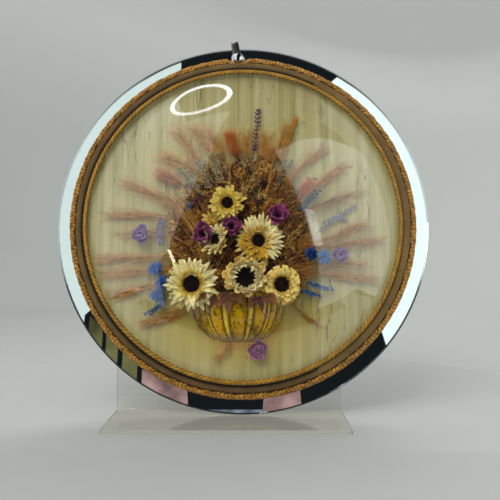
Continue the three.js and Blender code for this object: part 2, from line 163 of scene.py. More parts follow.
def place(name, mesh, look, body="picture", replaces=(), matrix=None, crease=40):
    """Makes a piece of a mesh, gives it a look, and lets it ride on a CAD body."""
    piece = add_object(name, mesh)
    mesh.transform(disc if matrix is None else matrix)
    mesh.shade_smooth()
    if crease:
        mesh.set_sharp_from_angle(angle=math.radians(crease))
    mesh.materials.append(look)
    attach(piece, body)
    if replaces:
        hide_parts(*replaces)
    return piece


def ring_faces(rings, sides, closed_rings=False):
    """Quads between rings of points, each ring closed on itself."""
    i = np.arange(rings if closed_rings else rings - 1)[:, None]
    j = np.arange(sides)[None]
    after = (i + 1) % rings
    beside = (j + 1) % sides
    quads = [i * sides + j, i * sides + beside, after * sides + beside, after * sides + j]
    return np.stack(quads, -1).reshape(-1, 4)


def turned(profile, segments=192, shape=None):
    """A closed (radius, height) outline turned about the disc's axis. shape(points, angles) may vary it."""
    angles = TAU * np.arange(segments) / segments
    outline = np.array(profile, float)
    points = np.empty((segments, len(outline), 3))
    points[..., 0] = np.cos(angles)[:, None] * outline[:, 0]
    points[..., 1] = np.sin(angles)[:, None] * outline[:, 0]
    points[..., 2] = outline[:, 1]
    if shape:
        points = shape(points, angles)
    sketch = Sketch()
    sketch.add(points, [ring_faces(segments, len(outline), True)])
    return sketch


def turned_mesh(name, profile, segments=192, shift=(0, 0)):
    mesh = turned(profile, segments).mesh(name)
    mesh.transform(Matrix.Translation((shift[0] * MM, shift[1] * MM, 0)))
    tidy_mesh(mesh, weld=0.0005)
    return mesh


def turned_piece(name, outline, look, node, segments=192, shift=(0, 0), crease=40):
    """A turned piece that replaces one CAD node."""
    mesh = turned_mesh(name, outline, segments, shift)
    return place(name, mesh, look, replaces=[node], crease=crease)


def grid_faces(rows, columns):
    """Quads over a sheet of rows by columns points."""
    here = np.arange(rows - 1)[:, None] * columns + np.arange(columns - 1)[None]
    return np.stack([here, here + 1, here + columns + 1, here + columns], -1).reshape(-1, 4)


def end_faces(rings, sides):
    """The two faces that close the ends of a tube."""
    return [list(range(sides - 1, -1, -1)), [(rings - 1) * sides + k for k in range(sides)]]


def unit(vectors):
    return vectors / np.maximum(np.linalg.norm(vectors, axis=-1, keepdims=True), 1e-9)


def along_paths(paths, facing):
    """Side and facing directions at each point of many paths (shapes, points, 3)."""
    tangents = unit(np.gradient(paths, axis=1))
    facing = np.broadcast_to(np.asarray(facing, float), paths.shape)
    side = unit(np.cross(tangents, facing))
    return side, unit(np.cross(side, tangents))


def tubes(sketch, paths, radii, colours, facing=(0, 0, 1.0), sides=3, flat=1.0):
    """Thin closed tubes along many paths at once. radii and colours vary along each path."""
    paths = np.asarray(paths, float)
    count, steps = paths.shape[:2]
    side, front = along_paths(paths, facing)
    turn = TAU * np.arange(sides) / sides
    radii = np.broadcast_to(radii, (count, steps))[..., None, None]
    ring = np.cos(turn)[:, None] * side[:, :, None] + flat * np.sin(turn)[:, None] * front[:, :, None]
    points = paths[:, :, None] + radii * ring
    colours = np.broadcast_to(colours, (count, steps, 3))[:, :, None]
    colours = np.broadcast_to(colours, points.shape).reshape(count, -1, 3)
    faces = [ring_faces(steps, sides), end_faces(steps, sides)]
    sketch.add_many(points.reshape(count, -1, 3), faces, colours)


def blades(sketch, paths, facing, widths, colours, cup=0.0, thick=0.22, columns=3, edge=None):
    """Thin closed leaves along many paths: widths are half-widths, cup lifts their edges."""
    paths = np.asarray(paths, float)
    count, steps = paths.shape[:2]
    side, front = along_paths(paths, facing)
    across = np.linspace(-1, 1, columns)
    widths = np.broadcast_to(widths, (count, steps))[..., None, None]
    cup = np.broadcast_to(cup, (count, steps))[..., None, None]
    lift = cup * (across**2)[:, None] * widths * front[:, :, None]
    top = paths[:, :, None] + across[:, None] * widths * side[:, :, None] + lift
    if edge is not None:
        top = top + edge[..., None] * front[:, :, None]
    points = np.stack([top, top - thick * front[:, :, None]], 1)
    colours = np.broadcast_to(colours, (count, steps, 3))[:, None, :, None]
    colours = np.broadcast_to(colours, points.shape).reshape(count, -1, 3)
    front_quads = grid_faces(steps, columns)
    back = steps * columns
    back_quads = front_quads[:, ::-1] + back
    rim = list(range(columns))
    rim += [k * columns + columns - 1 for k in range(1, steps)]
    rim += [(steps - 1) * columns + k for k in range(columns - 2, -1, -1)]
    rim += [k * columns for k in range(steps - 2, 0, -1)]
    rim_quads = [[after, here, here + back, after + back] for here, after in zip(rim, rim[1:] + rim[:1])]
    faces = [np.concatenate([front_quads, back_quads, np.array(rim_quads)])]
    sketch.add_many(points.reshape(count, -1, 3), faces, colours)


def vary(colour, count, spread=0.15):
    """Many shades of one colour, some lighter and some darker."""
    shade = np.exp(rng.normal(0, spread, (count, 1)))
    hue = np.exp(rng.normal(0, spread * 0.35, (count, 3)))
    return np.asarray(colour, float) * shade * hue


def fade(start, end, steps, power=1.0):
    """Colours of many shapes (shapes, 3) or (3,), going from start to end along each path."""
    share = (np.linspace(0, 1, steps) ** power)[:, None]
    start, end = np.asarray(start, float), np.asarray(end, float)
    return start[..., None, :] * (1 - share) + end[..., None, :] * share


def shades(base, tip, count, steps, spread=0.15, tip_spread=None, power=1.0):
    """Varied colours of many shapes, from base to tip along each path."""
    first = vary(base, count, spread)
    return fade(first, vary(tip, count, tip_spread or spread), steps, power)


# ---------------------------------------------------------------- materials
def fill(tree, socket, value):
    """Links a socket to another node's output, or sets its plain value. A colour may leave out its alpha."""
    if isinstance(value, bpy.types.NodeSocket):
        tree.links.new(value, socket)
    elif socket.type == "RGBA":
        socket.default_value = (*value, 1)
    else:
        socket.default_value = value


def add_node(tree, kind, sockets=None, **settings):
    """A node with these settings, and its sockets filled by name or number."""
    made = tree.nodes.new(kind)
    for name, value in settings.items():
        setattr(made, name, value)
    for name, value in (sockets or {}).items():
        fill(tree, made.inputs[name], value)
    return made


class Look:
    """A node material. Plain values go straight on the shader's own sockets."""

    def __init__(self, name, **values):
        self.material = bpy.data.materials.new(name)
        self.material.use_nodes = True
        self.tree = self.material.node_tree
        self.shader = self.tree.nodes["Principled BSDF"]
        for socket, value in values.items():
            self.into(socket.replace("_", " "), value)
        self.raw_place = self.node("ShaderNodeTexCoord").outputs["Object"]
        self.place = self.node("ShaderNodeMapping", {
            "Rotation": to_disc.to_euler(), "Location": to_disc.to_translation(), "Vector": self.raw_place,
        }).outputs["Vector"]

    def node(self, kind, sockets=None, **settings):
        return add_node(self.tree, kind, sockets, **settings)

    def into(self, name, value):
        fill(self.tree, self.shader.inputs[name], value)

    def stretched(self, *scale):
        return self.node("ShaderNodeMapping", {"Scale": scale, "Vector": self.place}).outputs["Vector"]

    def noise(self, scale, detail=3.0, rough=0.55, where=None, distortion=0.0):
        return self.node("ShaderNodeTexNoise", {
            "Scale": scale, "Detail": detail, "Roughness": rough, "Distortion": distortion,
            "Vector": where or self.place,
        }).outputs["Fac"]

    def ramp(self, source, *stops):
        """Colours or grey levels along source: stops are (position, colour or level)."""
        made = self.node("ShaderNodeValToRGB", {"Fac": source})
        elements = made.color_ramp.elements
        while len(elements) < len(stops):
            elements.new(0.5)
        for element, (position, value) in zip(elements, stops):
            element.position = position
            grey = isinstance(value, (int, float))
            element.color = (value, value, value, 1) if grey else (*value, 1)
        return made.outputs["Color"]

    def mix(self, share, one, two, how="MIX"):
        sockets = {0: share, 6: one, 7: two}
        return self.node("ShaderNodeMix", sockets, data_type="RGBA", blend_type=how).outputs[2]

    def times(self, one, two):
        return self.mix(1.0, one, two, "MULTIPLY")

    def tint(self):
        return self.node("ShaderNodeAttribute", attribute_name="tint").outputs["Color"]

    def roughness(self, source, low, high, start=0.3, end=0.7):
        self.into("Roughness", self.ramp(source, (start, low), (end, high)))

    def bump(self, height, depth):
        """Relief of that many millimetres."""
        made = self.node("ShaderNodeBump", {"Distance": depth * MM, "Height": height})
        self.into("Normal", made.outputs["Normal"])

    def lit_through(self, colour):
        """Lets lamps and bounced light reach what is behind the glass, tinted with this colour."""
        rays = self.node("ShaderNodeLightPath").outputs
        soft_rays = {0: rays["Is Shadow Ray"], 1: rays["Is Diffuse Ray"]}
        either = self.node("ShaderNodeMath", soft_rays, operation="MAXIMUM")
        clear = self.node("ShaderNodeBsdfTransparent", {"Color": colour})
        ways = {0: either.outputs[0], 1: self.shader.outputs[0], 2: clear.outputs[0]}
        chosen = self.node("ShaderNodeMixShader", ways)
        fill(self.tree, self.tree.nodes["Material Output"].inputs["Surface"], chosen.outputs[0])


def glass_look(name, tint, smudge, ior=1.5, through=(1, 1, 1)):
    """Clear glass or acrylic, faintly smudged so that it isn't perfectly even."""
    look = Look(name, Base_Color=tint, Transmission_Weight=1.0, IOR=ior)
    look.roughness(look.noise(24, 4), 0.0, smudge, 0.35, 0.8)
    look.lit_through(through)
    return look.material


def plant_look(name, bump_scale=900, depth=0.12, rough=0.75, sheen=0.03):
    """Dried plant matter: the piece's own shades, mottled, veined and slightly papery."""
    look = Look(name, Sheen_Weight=sheen, Sheen_Roughness=0.5, Specular_IOR_Level=0.2)
    mottle = look.ramp(look.noise(260, 5, 0.65), (0.25, 0.6), (0.5, 1.0), (0.78, 1.4))
    look.into("Base Color", look.times(look.tint(), mottle))
    look.roughness(look.noise(150, 3), rough - 0.12, rough + 0.12)
    look.bump(look.noise(bump_scale, 4, 0.7), depth)
    return look.material


def silver_look():
    look = Look("silvering", Metallic=1.0)
    stain = look.ramp(look.noise(30, 6, 0.7), (0.42, (0.86, 0.9, 0.9)), (0.75, (0.80, 0.85, 0.86)))
    look.into("Base Color", stain)
    look.roughness(look.noise(60, 4), 0.0, 0.03, 0.4, 0.9)
    return look.material


def chrome_look(name, colour, rough):
    look = Look(name, Metallic=1.0)
    # Random darker blotches on the metal.
    dark_blotches = look.ramp(look.noise(420, 5, 0.7), (0.4, 0.0), (0.75, 0.5))
    look.into("Base Color", look.mix(dark_blotches, colour, tuple(c * 0.6 for c in colour)))
    look.roughness(look.noise(180, 4), rough, rough + 0.14, 0.3, 0.75)
    look.bump(look.noise(900, 3), 0.02)
    return look.material


def board_look():
    """Pale satin wood print: upright grain, wide soft bands, and thin dark wandering cracks."""
    look = Look("cream_woodgrain")
    broad = look.noise(13, 3, 0.5, look.stretched(1.0, 0.13, 1.0))
    fine = look.noise(190, 4, 0.6, look.stretched(1.0, 0.02, 1.0))
    cream = srgb(181, 169, 116)
    base = look.ramp(broad, (0.3, srgb(166, 155, 98)), (0.5, cream), (0.72, srgb(158, 148, 86)))
    streak = look.ramp(fine, (0.28, srgb(136, 125, 66)), (0.5, cream), (0.75, srgb(212, 201, 160)))
    # Painted light: a honey-coloured glow painted on the board round the amber bowl, standing in for the
    # light that the bowl passes on.
    ends = {0: look.stretched(0.8, 1.5, 0.0), 1: (-0.003, -0.117, 0.0)}
    from_bowl = look.node("ShaderNodeVectorMath", ends, operation="DISTANCE")
    painted_amber_glow = look.ramp(from_bowl.outputs["Value"], (0.034, 0.75), (0.066, 0.0))
    wood = look.mix(painted_amber_glow, look.mix(0.55, base, streak), srgb(190, 166, 54))
    tall = look.stretched(1.0, 0.09, 1.0)
    crack = None
    for scale, level, width in ((34, 0.50, 0.0040), (52, 0.46, 0.0034), (21, 0.54, 0.0030)):
        field = look.noise(scale, 3.5, 0.6, tall, 0.35)
        line = look.ramp(field, (level - width, 0.0), (level, 1.0), (level + width, 0.0))
        crack = look.mix(1.0, crack, line, "LIGHTEN") if crack else line
    here = look.ramp(look.noise(17, 2, 0.5, look.stretched(1.0, 0.6, 1.0)), (0.49, 0.0), (0.58, 0.9))
    look.into("Base Color", look.mix(look.times(crack, here), wood, srgb(62, 52, 22)))
    look.roughness(fine, 0.42, 0.6)
    look.bump(fine, 0.05)
    return look.material


def thread_look(name, sheen, rough, bump_scale=1400, depth=0.15):
    """Twisted yarn: the piece's shades broken up by fine fibres."""
    look = Look(name, Sheen_Weight=sheen, Sheen_Roughness=0.35)
    fibre = look.noise(bump_scale, 3, 0.6)
    shade = look.ramp(fibre, (0.3, 0.6), (0.55, 1.0), (0.75, 1.45))
    patch = look.ramp(look.noise(55, 3), (0.3, 0.8), (0.7, 1.2))
    look.into("Base Color", look.times(look.times(look.tint(), shade), patch))
    look.roughness(fibre, rough, min(rough + 0.25, 1.0))
    look.bump(fibre, depth)
    return look.material


def felt_look():
    look = Look("black_felt", Sheen_Weight=0.4, Sheen_Roughness=0.6)
    fuzz = look.noise(1200, 6, 0.8)
    shade = look.ramp(fuzz, (0.25, srgb(38, 37, 36)), (0.5, srgb(58, 57, 54)), (0.8, srgb(92, 90, 84)))
    look.into("Base Color", shade)
    look.roughness(fuzz, 0.85, 1.0, 0.2, 0.8)
    look.bump(look.noise(700, 6, 0.85), 0.5)
    return look.material


def plain_look(name, dark, light, rough, scale=300, depth=0.05):
    """A moulded or painted surface with a fine mottle."""
    look = Look(name)
    grain = look.noise(scale, 5, 0.65)
    look.into("Base Color", look.ramp(grain, (0.3, dark), (0.7, light)))
    look.roughness(grain, rough, min(rough + 0.15, 1.0))
    look.bump(grain, depth)
    return look.material


def amber_look():
    """Honey-coloured pressed glass: gold on its panels with painted highlight lines, brown painted shade in
    its grooves, with seeds and streaks.
    """
    look = Look("amber_pressed_glass", Transmission_Weight=0.45, IOR=1.5, Coat_Weight=0.4)
    streak = look.noise(90, 5, 0.7, look.stretched(1.0, 0.22, 1.0))
    cloud = look.ramp(streak, (0.34, 0.22), (0.46, 1.0), (0.7, 1.5))
    speck = look.ramp(look.noise(360, 3, 0.6), (0.36, 0.3), (0.45, 1.0))
    look.into("Base Color", look.times(look.tint(), look.times(cloud, speck)))
    look.roughness(look.noise(70, 3), 0.06, 0.22, 0.35, 0.75)
    look.bump(look.noise(210, 3, 0.5), 0.3)
    look.lit_through((0.95, 0.74, 0.2))
    return look.material


clear_glass = glass_look("dome_glass", (0.985, 1.0, 0.99), 0.012)
mirror_glass = glass_look("mirror_glass", (0.95, 0.985, 0.975), 0.006)
acrylic = glass_look("acrylic", (0.945, 0.925, 0.89), 0.02, 1.49, (0.92, 0.9, 0.86))
silver = silver_look()
chrome = chrome_look("chrome", (0.78, 0.79, 0.8), 0.05)
strap_steel = chrome_look("strap_steel", (0.42, 0.38, 0.34), 0.26)
wood = board_look()
felt = felt_look()
amber = amber_look()
braid_yarn = thread_look("braid_yarn", 0.12, 0.5)
cord_yarn = thread_look("cord_yarn", 0.1, 0.42)
ribbon_cloth = thread_look("ribbon_cloth", 0.1, 0.6, 1500, 0.12)
petal = plant_look("petal", 700, 0.10, 0.6)
straw = plant_look("dry_stem", 1100, 0.12, 0.75)
fuzz = plant_look("fine_hair", 1500, 0.05, 0.85, 0.12)
papery = plant_look("papery", 600, 0.2, 0.65, 0.08)
sealant = plain_look("sealant", srgb(190, 184, 165), srgb(214, 208, 190), 0.5)
nylon = plain_look("nylon", srgb(214, 210, 198), srgb(236, 232, 222), 0.4)
fibre = plain_look("fibre", srgb(104, 66, 42), srgb(140, 92, 60), 0.75, 500, 0.1)
foam = plain_look("floral_foam", srgb(44, 34, 22), srgb(84, 66, 42), 0.95, 700, 0.6)
mirror_back = plain_look("mirror_back_paint", srgb(84, 88, 92), srgb(100, 104, 108), 0.55)

# ---------------------------------------------------------------- mirror, felt and board
def disc_with_hole(name, outline, hole_radius):
    """A turned disc whose middle is closed, with a round hole bored at the screw."""
    back, front = -5, 2  # the drill goes right through
    shaft = [(0, back), (hole_radius, back), (hole_radius, front), (0, front)]
    blank = add_object(name + "_blank", turned_mesh(name, outline, 240))
    drill = add_object(name + "_drill", turned_mesh(name + "_drill", shaft, 40, SCREW))
    cut = blank.modifiers.new("hole", "BOOLEAN")
    cut.operation = "DIFFERENCE"
    cut.object = drill
    cut.solver = "EXACT"
    bored = bpy.data.meshes.new_from_object(blank.evaluated_get(bpy.context.evaluated_depsgraph_get()))
    for spent in (blank, drill):
        bpy.data.objects.remove(spent)
    return bored


SILVER = 0.12
R = MIRROR_RADIUS
glass_back = SILVER - MIRROR_THICKNESS
glass_outline = [(0, glass_back), (R - 0.35, glass_back), (R - 0.06, glass_back + 0.3), (R, glass_back + 0.6),
                 (R, -1.0), (R - 0.25, -0.62), (R - 0.9, 0), (0, 0)]
silver_outline = [(0, glass_back - SILVER), (R - 0.5, glass_back - SILVER), (R - 0.4, glass_back - 0.02),
                  (0, glass_back - 0.02)]
place("mirror_glass_plate", disc_with_hole("mirror_glass_plate", glass_outline, 3.0), mirror_glass,
      replaces=["mirror_plate"], crease=25)
silver_piece = place("mirror_silvering", disc_with_hole("mirror_silvering", silver_outline, 3.05), silver,
                     crease=25)
silver_piece.data.materials.append(mirror_back)
for face in silver_piece.data.polygons:
    face.material_index = int(face.normal.dot(normal) < -0.5)

felt_outline = [(0, -4.3), (127.4, -4.3), (127.9, -4.1), (128, -3.8), (127.8, -3.35), (127.2, -3.3),
                (0, -3.3)]
turned_piece("felt_disc", felt_outline, felt, "back_felt")
board_outline = [(0, 0.3), (132.1, 0.3), (BOARD_RADIUS, 0.7), (BOARD_RADIUS, 4.9), (132.1, 5.3), (0, 5.3)]
turned_piece("picture_board", board_outline, wood, "backboard")


# ---------------------------------------------------------------- dome and seal
def dome_outline(steps=40):
    inner_foot = math.acos((PLANT_FLOOR - BUBBLE_CENTRE) / INNER_BUBBLE)
    outer_foot = math.asin(DOME_FOOT / BUBBLE_RADIUS)
    outline = []
    for k in range(steps + 1):
        angle = inner_foot * k / steps
        outline.append((INNER_BUBBLE * math.sin(angle), BUBBLE_CENTRE + INNER_BUBBLE * math.cos(angle)))
    outline += [(GLASS_RADIUS - 0.5, PLANT_FLOOR), (GLASS_RADIUS - 0.1, PLANT_FLOOR + 0.4)]
    outline += [(GLASS_RADIUS, 6.9), (GLASS_RADIUS - 0.1, 7.7), (GLASS_RADIUS - 0.5, GLASS_RIM_FRONT)]
    outline += [(DOME_FOOT + 0.8, GLASS_RIM_FRONT)]
    for k in range(steps, -1, -1):
        angle = outer_foot * k / steps
        outline.append((BUBBLE_RADIUS * math.sin(angle), BUBBLE_CENTRE + BUBBLE_RADIUS * math.cos(angle)))
    return outline


turned_piece("bubble_glass", dome_outline(), clear_glass, "glass_dome", crease=30)
SEAL = GLASS_RADIUS + 0.3
seal_outline = [(SEAL, 5.6), (SEAL + 2, 5.6), (SEAL + 2.3, 6.1), (SEAL + 2.2, 6.7), (SEAL + 1.5, 7.5),
                (SEAL + 0.7, 7.85), (SEAL, 7.9)]
turned_piece("sealant_bead", seal_outline, sealant, "seal_bead")

# ---------------------------------------------------------------- trims round the dome
FOOT_SLOPE = math.asin(DOME_FOOT / BUBBLE_RADIUS)
CORD_RADIUS = 1.9
STAND_OFF = (CORD_RADIUS + 0.3) / math.sin((math.pi - FOOT_SLOPE) / 2)
CORD_R = DOME_FOOT + STAND_OFF * math.cos((math.pi - FOOT_SLOPE) / 2)
CORD_H = GLASS_RIM_FRONT + STAND_OFF * math.sin((math.pi - FOOT_SLOPE) / 2)


def closed_strand(sketch, path, wide, thick, colours, sides, facing, twist, lobe):
    """One yarn round the disc, with five turning lobes, of half sizes wide and thick. path is closed."""
    tangent = unit(np.roll(path, -1, 0) - np.roll(path, 1, 0))
    front = unit(facing - (facing * tangent).sum(1, keepdims=True) * tangent)
    side = np.cross(tangent, front)
    turn = TAU * np.arange(sides)[None] / sides
    swell = 1 + lobe * np.cos(5 * (turn + twist[:, None]))
    points = path[:, None] + (np.cos(turn) * swell)[..., None] * side[:, None] * wide
    points += (np.sin(turn) * swell)[..., None] * front[:, None] * thick
    colours = np.repeat(np.broadcast_to(colours, (len(path), 3)), sides, 0)
    sketch.add(points, [ring_faces(len(path), sides, True)[:, ::-1]], colours)


def around(angle, radius, height):
    """Points at these angles, radii and heights on the disc."""
    return np.stack([np.cos(angle) * radius, np.sin(angle) * radius, height + 0 * angle], -1)


def laid_cord(radius, height, cord_radius, strands, turns, bright, dark):
    """Strands wound round a closed ring, each with finer yarns that twist the other way."""
    sketch = Sketch()
    steps = turns * 13
    strand_radius = cord_radius / (1 + 1 / math.sin(math.pi / strands))
    offset = cord_radius - strand_radius
    angle = TAU * np.arange(steps) / steps
    outward = around(angle, 1.0, 0.0)
    for k in range(strands):
        phase = turns * angle + TAU * k / strands
        away = np.cos(phase)[:, None] * outward + np.sin(phase)[:, None] * np.array([0, 0, 1.0])
        path = around(angle, radius, height) + offset * away
        glint = rng.normal(0, 0.12, steps)
        shade = np.exp(np.convolve(np.tile(glint, 3), np.ones(9) / 3, "same")[steps:2 * steps])[:, None]
        # Painted light: each strand is painted bright where it rises to the cord's front and dark where it
        # turns down towards the board.
        high = (0.5 + 0.5 * np.sin(phase))[:, None]
        colours = (np.asarray(dark) * (1 - high) + np.asarray(bright) * high) * shade
        full = strand_radius * 1.04
        closed_strand(sketch, path, full, full, colours, 10, away, -turns * 2 * angle, 0.05)
    return sketch


# The two colours are the strands' painted lit and painted shaded shades.
cord = laid_cord(CORD_R, CORD_H, CORD_RADIUS, 3, 69, srgb(180, 132, 34), srgb(56, 36, 8))
place("twisted_cord", cord.mesh("twisted_cord"), cord_yarn, replaces=["inner_cord"], crease=0)

RIBBON_BACK = GLASS_RIM_FRONT + 0.3
RIBBON_INNER = CORD_R + CORD_RADIUS + 0.3
RIBBON_OUTER = BOARD_RADIUS + 0.4
RIBS = 620


def ribbon_shape(points, angles):
    """Raises fine cross ribs and lets the ribbon's surface roll a little."""
    rib = 0.11 * np.cos(RIBS * angles)[:, None]
    roll = (0.10 * np.sin(5 * angles + 1) + 0.06 * np.sin(17 * angles))[:, None]
    top = points[..., 2] > RIBBON_BACK + 0.4
    points[..., 2] += np.where(top, rib + roll, 0)
    return points


ribbon_top = RIBBON_BACK + 1.28
ribbon_outline = [(RIBBON_INNER, RIBBON_BACK), (RIBBON_OUTER, RIBBON_BACK), (RIBBON_OUTER, ribbon_top - 0.7),
                  (RIBBON_OUTER - 0.5, ribbon_top - 0.25), (RIBBON_OUTER - 1.5, ribbon_top - 0.05),
                  ((RIBBON_INNER + RIBBON_OUTER) / 2, ribbon_top), (RIBBON_INNER + 0.9, ribbon_top - 0.1),
                  (RIBBON_INNER + 0.3, ribbon_top - 0.4)]
ribbon = turned(ribbon_outline, RIBS * 3, ribbon_shape)
a = np.arctan2(ribbon.points[0][:, 1], ribbon.points[0][:, 0])
# Partly painted light: the ribs' crests are painted lighter and their troughs darker, in step with the rib
# relief; the slow waves are tone that varies.
rib_painted_light_and_tone = 0.86 + 0.14 * np.cos(RIBS * a) + 0.10 * np.sin(7 * a + 2) + 0.06 * np.sin(23 * a)
share = (0.5 + 0.5 * np.sin(3 * a + 0.6))[:, None]
brown = np.array(srgb(112, 88, 44)) * (1 - share) + np.array(srgb(104, 77, 41)) * share
# Painted light: the ribbon is painted lighter and yellower on its right side, where more light falls.
painted_light_right = 1 + 0.4 * np.clip(np.cos(a - 0.2), 0, 1)[:, None] * np.array([1, 1, 0.5])
ribbon.colours = [brown * rib_painted_light_and_tone[:, None] * painted_light_right]
inner_edge = np.linalg.norm(ribbon.points[0][:, :2], axis=1) < RIBBON_INNER + 1.5
ribbon.colours[0][inner_edge & (np.cos(a) < 0.45)] *= 0.12  # in the cord's shadow
ribbon_mesh = ribbon.mesh("ribbon_band")
tidy_mesh(ribbon_mesh)
place("ribbon_band", ribbon_mesh, ribbon_cloth, replaces=["rim_ribbon"], crease=0)

BRAID_INNER = RIBBON_OUTER + 0.3


def squashed(points):
    """Presses the braid aside where the hanger's cap stands on it."""
    away = points[:, :2] - np.array(SCREW)
    distance = np.linalg.norm(away, axis=1, keepdims=True)
    reach, keep = 10.5, CAP_RADIUS + 0.7
    pushed = np.where(distance < reach, keep + (reach - keep) * distance / reach, distance)
    below = np.clip(away[:, 1:] / -3, 0, 1)  # only what lies below the cap gives way
    moved = points.copy()
    moved[:, :2] = np.array(SCREW) + away / np.maximum(distance, 1e-6) * (
        pushed * below + distance * (1 - below))
    return moved


def plaited_gimp():
    """A flat plait of five yarns, laid over the board's corner so that it covers front and side."""
    strands, periods = 5, 57
    sketch = Sketch()
    steps = periods * 32
    angle = TAU * np.arange(steps) / steps
    corner = [(0.0, 133.95, 8.0), (0.30, 136.2, 8.25), (0.46, 137.25, 7.5), (0.62, 137.35, 5.6),
              (1.0, 137.25, 1.5)]
    at, corner_r, corner_h = np.array(corner).T
    dense = np.linspace(0, 1, 60)
    r_line = np.interp(dense, at, corner_r)
    h_line = np.interp(dense, at, corner_h)
    for line in (r_line, h_line) * 6:  # rounds the corner off
        line[1:-1] = (line[:-2] + 2 * line[1:-1] + line[2:]) / 4
    slope_r = np.gradient(r_line)
    slope_h = np.gradient(h_line)
    for k in range(strands):
        phase = periods * angle + TAU * k / strands
        wander = 0.05 * np.sin(37 * angle + 5 * k) + 0.05 * np.sin(83 * angle + 2 * k)
        wander += 0.04 * np.sin(151 * angle + 7 * k)
        share = 0.5 + 0.5 * (0.75 * np.arcsin(np.sin(phase) * 0.97) / (math.pi / 2) + 0.25 * np.sin(phase))
        share = np.clip(share + wander, 0, 1)
        over = np.sin((strands - 1) * phase + math.pi) + 2.5 * wander
        lines = (r_line, h_line, slope_r, slope_h)
        radius, height, dr, dh = (np.interp(share, dense, line) for line in lines)
        size = np.hypot(dr, dh)
        out_r, out_h = -dh / size, dr / size
        flip = np.sign(out_r + out_h)[0]
        outward = around(angle, 1.0, 0.0) * (out_r * flip)[:, None]
        outward[:, 2] = out_h * flip
        path = around(angle, radius, height) + outward * (0.40 * np.clip(over, -1, 1))[:, None]
        slow = 0.18 * np.sin(3 * angle + k) + 0.12 * np.sin(11 * angle + 2 * k)
        # Partly painted shade: each strand is painted lighter where it passes over and darker where it dips
        # under; the other terms are tone that varies.
        shade = np.exp(0.34 * over + 0.16 * np.sin(2 * phase + k) + slow)[:, None]
        colours = np.array(srgb(154, 108, 36)) * shade
        closed_strand(sketch, squashed(path), 1.08, 0.58, colours, 8, outward, periods * 9 * angle, 0.10)
    return sketch


gimp = plaited_gimp()
# The plait's core is painted near black: painted shade that shows in the gaps between the strands.
core_outline = [(BRAID_INNER, 0.5), (136.6, 0.5), (136.9, 1.5), (136.7, 6.2), (135.6, 7.4), (133.9, 7.6),
                (BRAID_INNER, 7.3)]
painted_shade_core = turned(core_outline, 360)
gimp.add(squashed(painted_shade_core.points[0]), painted_shade_core.faces, srgb(52, 33, 14))


def loose_fibres(count):
    """Short stray ends that stand off the plait."""
    angle = rng.uniform(0, TAU, count)
    radius = rng.uniform(133.6, 137.3, count)
    height = np.where(radius > 136.6, rng.uniform(3, 8.0, count), 8.4)
    start = squashed(around(angle, radius, height))
    heading = around(angle, 1.0, 0.0) * rng.normal(0.5, 0.5, (count, 1)) * 0.5
    heading += np.stack([-np.sin(angle), np.cos(angle), 0 * angle], -1) * rng.normal(0, 1.0, (count, 1))
    heading[:, 2] += rng.uniform(-0.1, 0.35, count)
    length = rng.uniform(0.5, 1.1, (count, 1))
    t = np.linspace(0, 1, 4)[None, :, None]
    return start[:, None] + heading[:, None] * length[:, None] * t


FIBRES = 1800
strays = loose_fibres(FIBRES)
fibre_shades = fade(vary(srgb(142, 96, 34), FIBRES, 0.35), srgb(196, 140, 56), 4)
tubes(gimp, strays, [0.08, 0.07, 0.06, 0.02], fibre_shades, facing=(0.3, 0.2, 1.0))
place("plaited_braid", gimp.mesh("plaited_braid"), braid_yarn, replaces=["outer_braid"],
      crease=0)

# ---------------------------------------------------------------- hanger
STRAP_TILT = math.radians(11.5)
STRAP_REACH = 16


def arc(centre, radius, start, end, steps):
    """Points (x, y) on an arc between two angles in degrees."""
    angles = [math.radians(start) + math.radians(end - start) * k / steps for k in range(steps + 1)]
    return [(centre[0] + radius * math.cos(a), centre[1] + radius * math.sin(a)) for a in angles]


def hanger_loop():
    """The strap: a flat steel strip with rounded ends, folded over the mirror's edge."""
    front, back, bend = 1.7, -4.7, 1.8
    top = STRAP_REACH - 0.6
    centre = [(front, -4.0 + 0.5 * k) for k in range(36) if -4.0 + 0.5 * k < top - bend]
    centre += arc((front - bend, top - bend), bend, 0, 90, 8)
    centre += arc((back + bend, top - bend), bend, 90, 180, 8)
    centre += [(back, z) for z in np.linspace(top - bend - 0.5, -4.0, 32)]
    centre = np.array(centre)
    tangent = unit(np.gradient(centre, axis=0))
    outward = np.stack([tangent[:, 1], -tangent[:, 0]], -1)
    half_width, half_thick, radius = 3.0, 0.6, 0.16
    section = []
    for across, out, start in ((1, 1, 0), (-1, 1, 90), (-1, -1, 180), (1, -1, 270)):
        corner = (across * (half_width - radius), out * (half_thick - radius))
        section += arc(corner, radius, start, start + 90, 3)
    section = np.array(section)
    steps, sides = len(centre), len(section)
    points = np.empty((steps, sides, 3))
    from_end = np.minimum(np.arange(steps), np.arange(steps)[::-1]) * 0.5
    taper = np.sqrt(np.clip(1 - (1 - np.clip(from_end / 2.6, 0, 1)) ** 2, 0.12, 1))
    points[..., 0] = section[None, :, 0] * taper[:, None]
    points[..., 1] = centre[:, None, 1] + section[None, :, 1] * outward[:, None, 1]
    points[..., 2] = centre[:, None, 0] + section[None, :, 1] * outward[:, None, 0]
    cos, sin = math.cos(STRAP_TILT), math.sin(STRAP_TILT)
    points[..., :2] = points[..., :2] @ np.array([[cos, sin], [-sin, cos]]) + np.array(SCREW)
    sketch = Sketch()
    ends = [end[::-1] for end in end_faces(steps, sides)]
    sketch.add(points, [ring_faces(steps, sides), ends])
    mesh = sketch.mesh("hanger_loop")
    tidy_mesh(mesh, weld=0.0005)
    return mesh


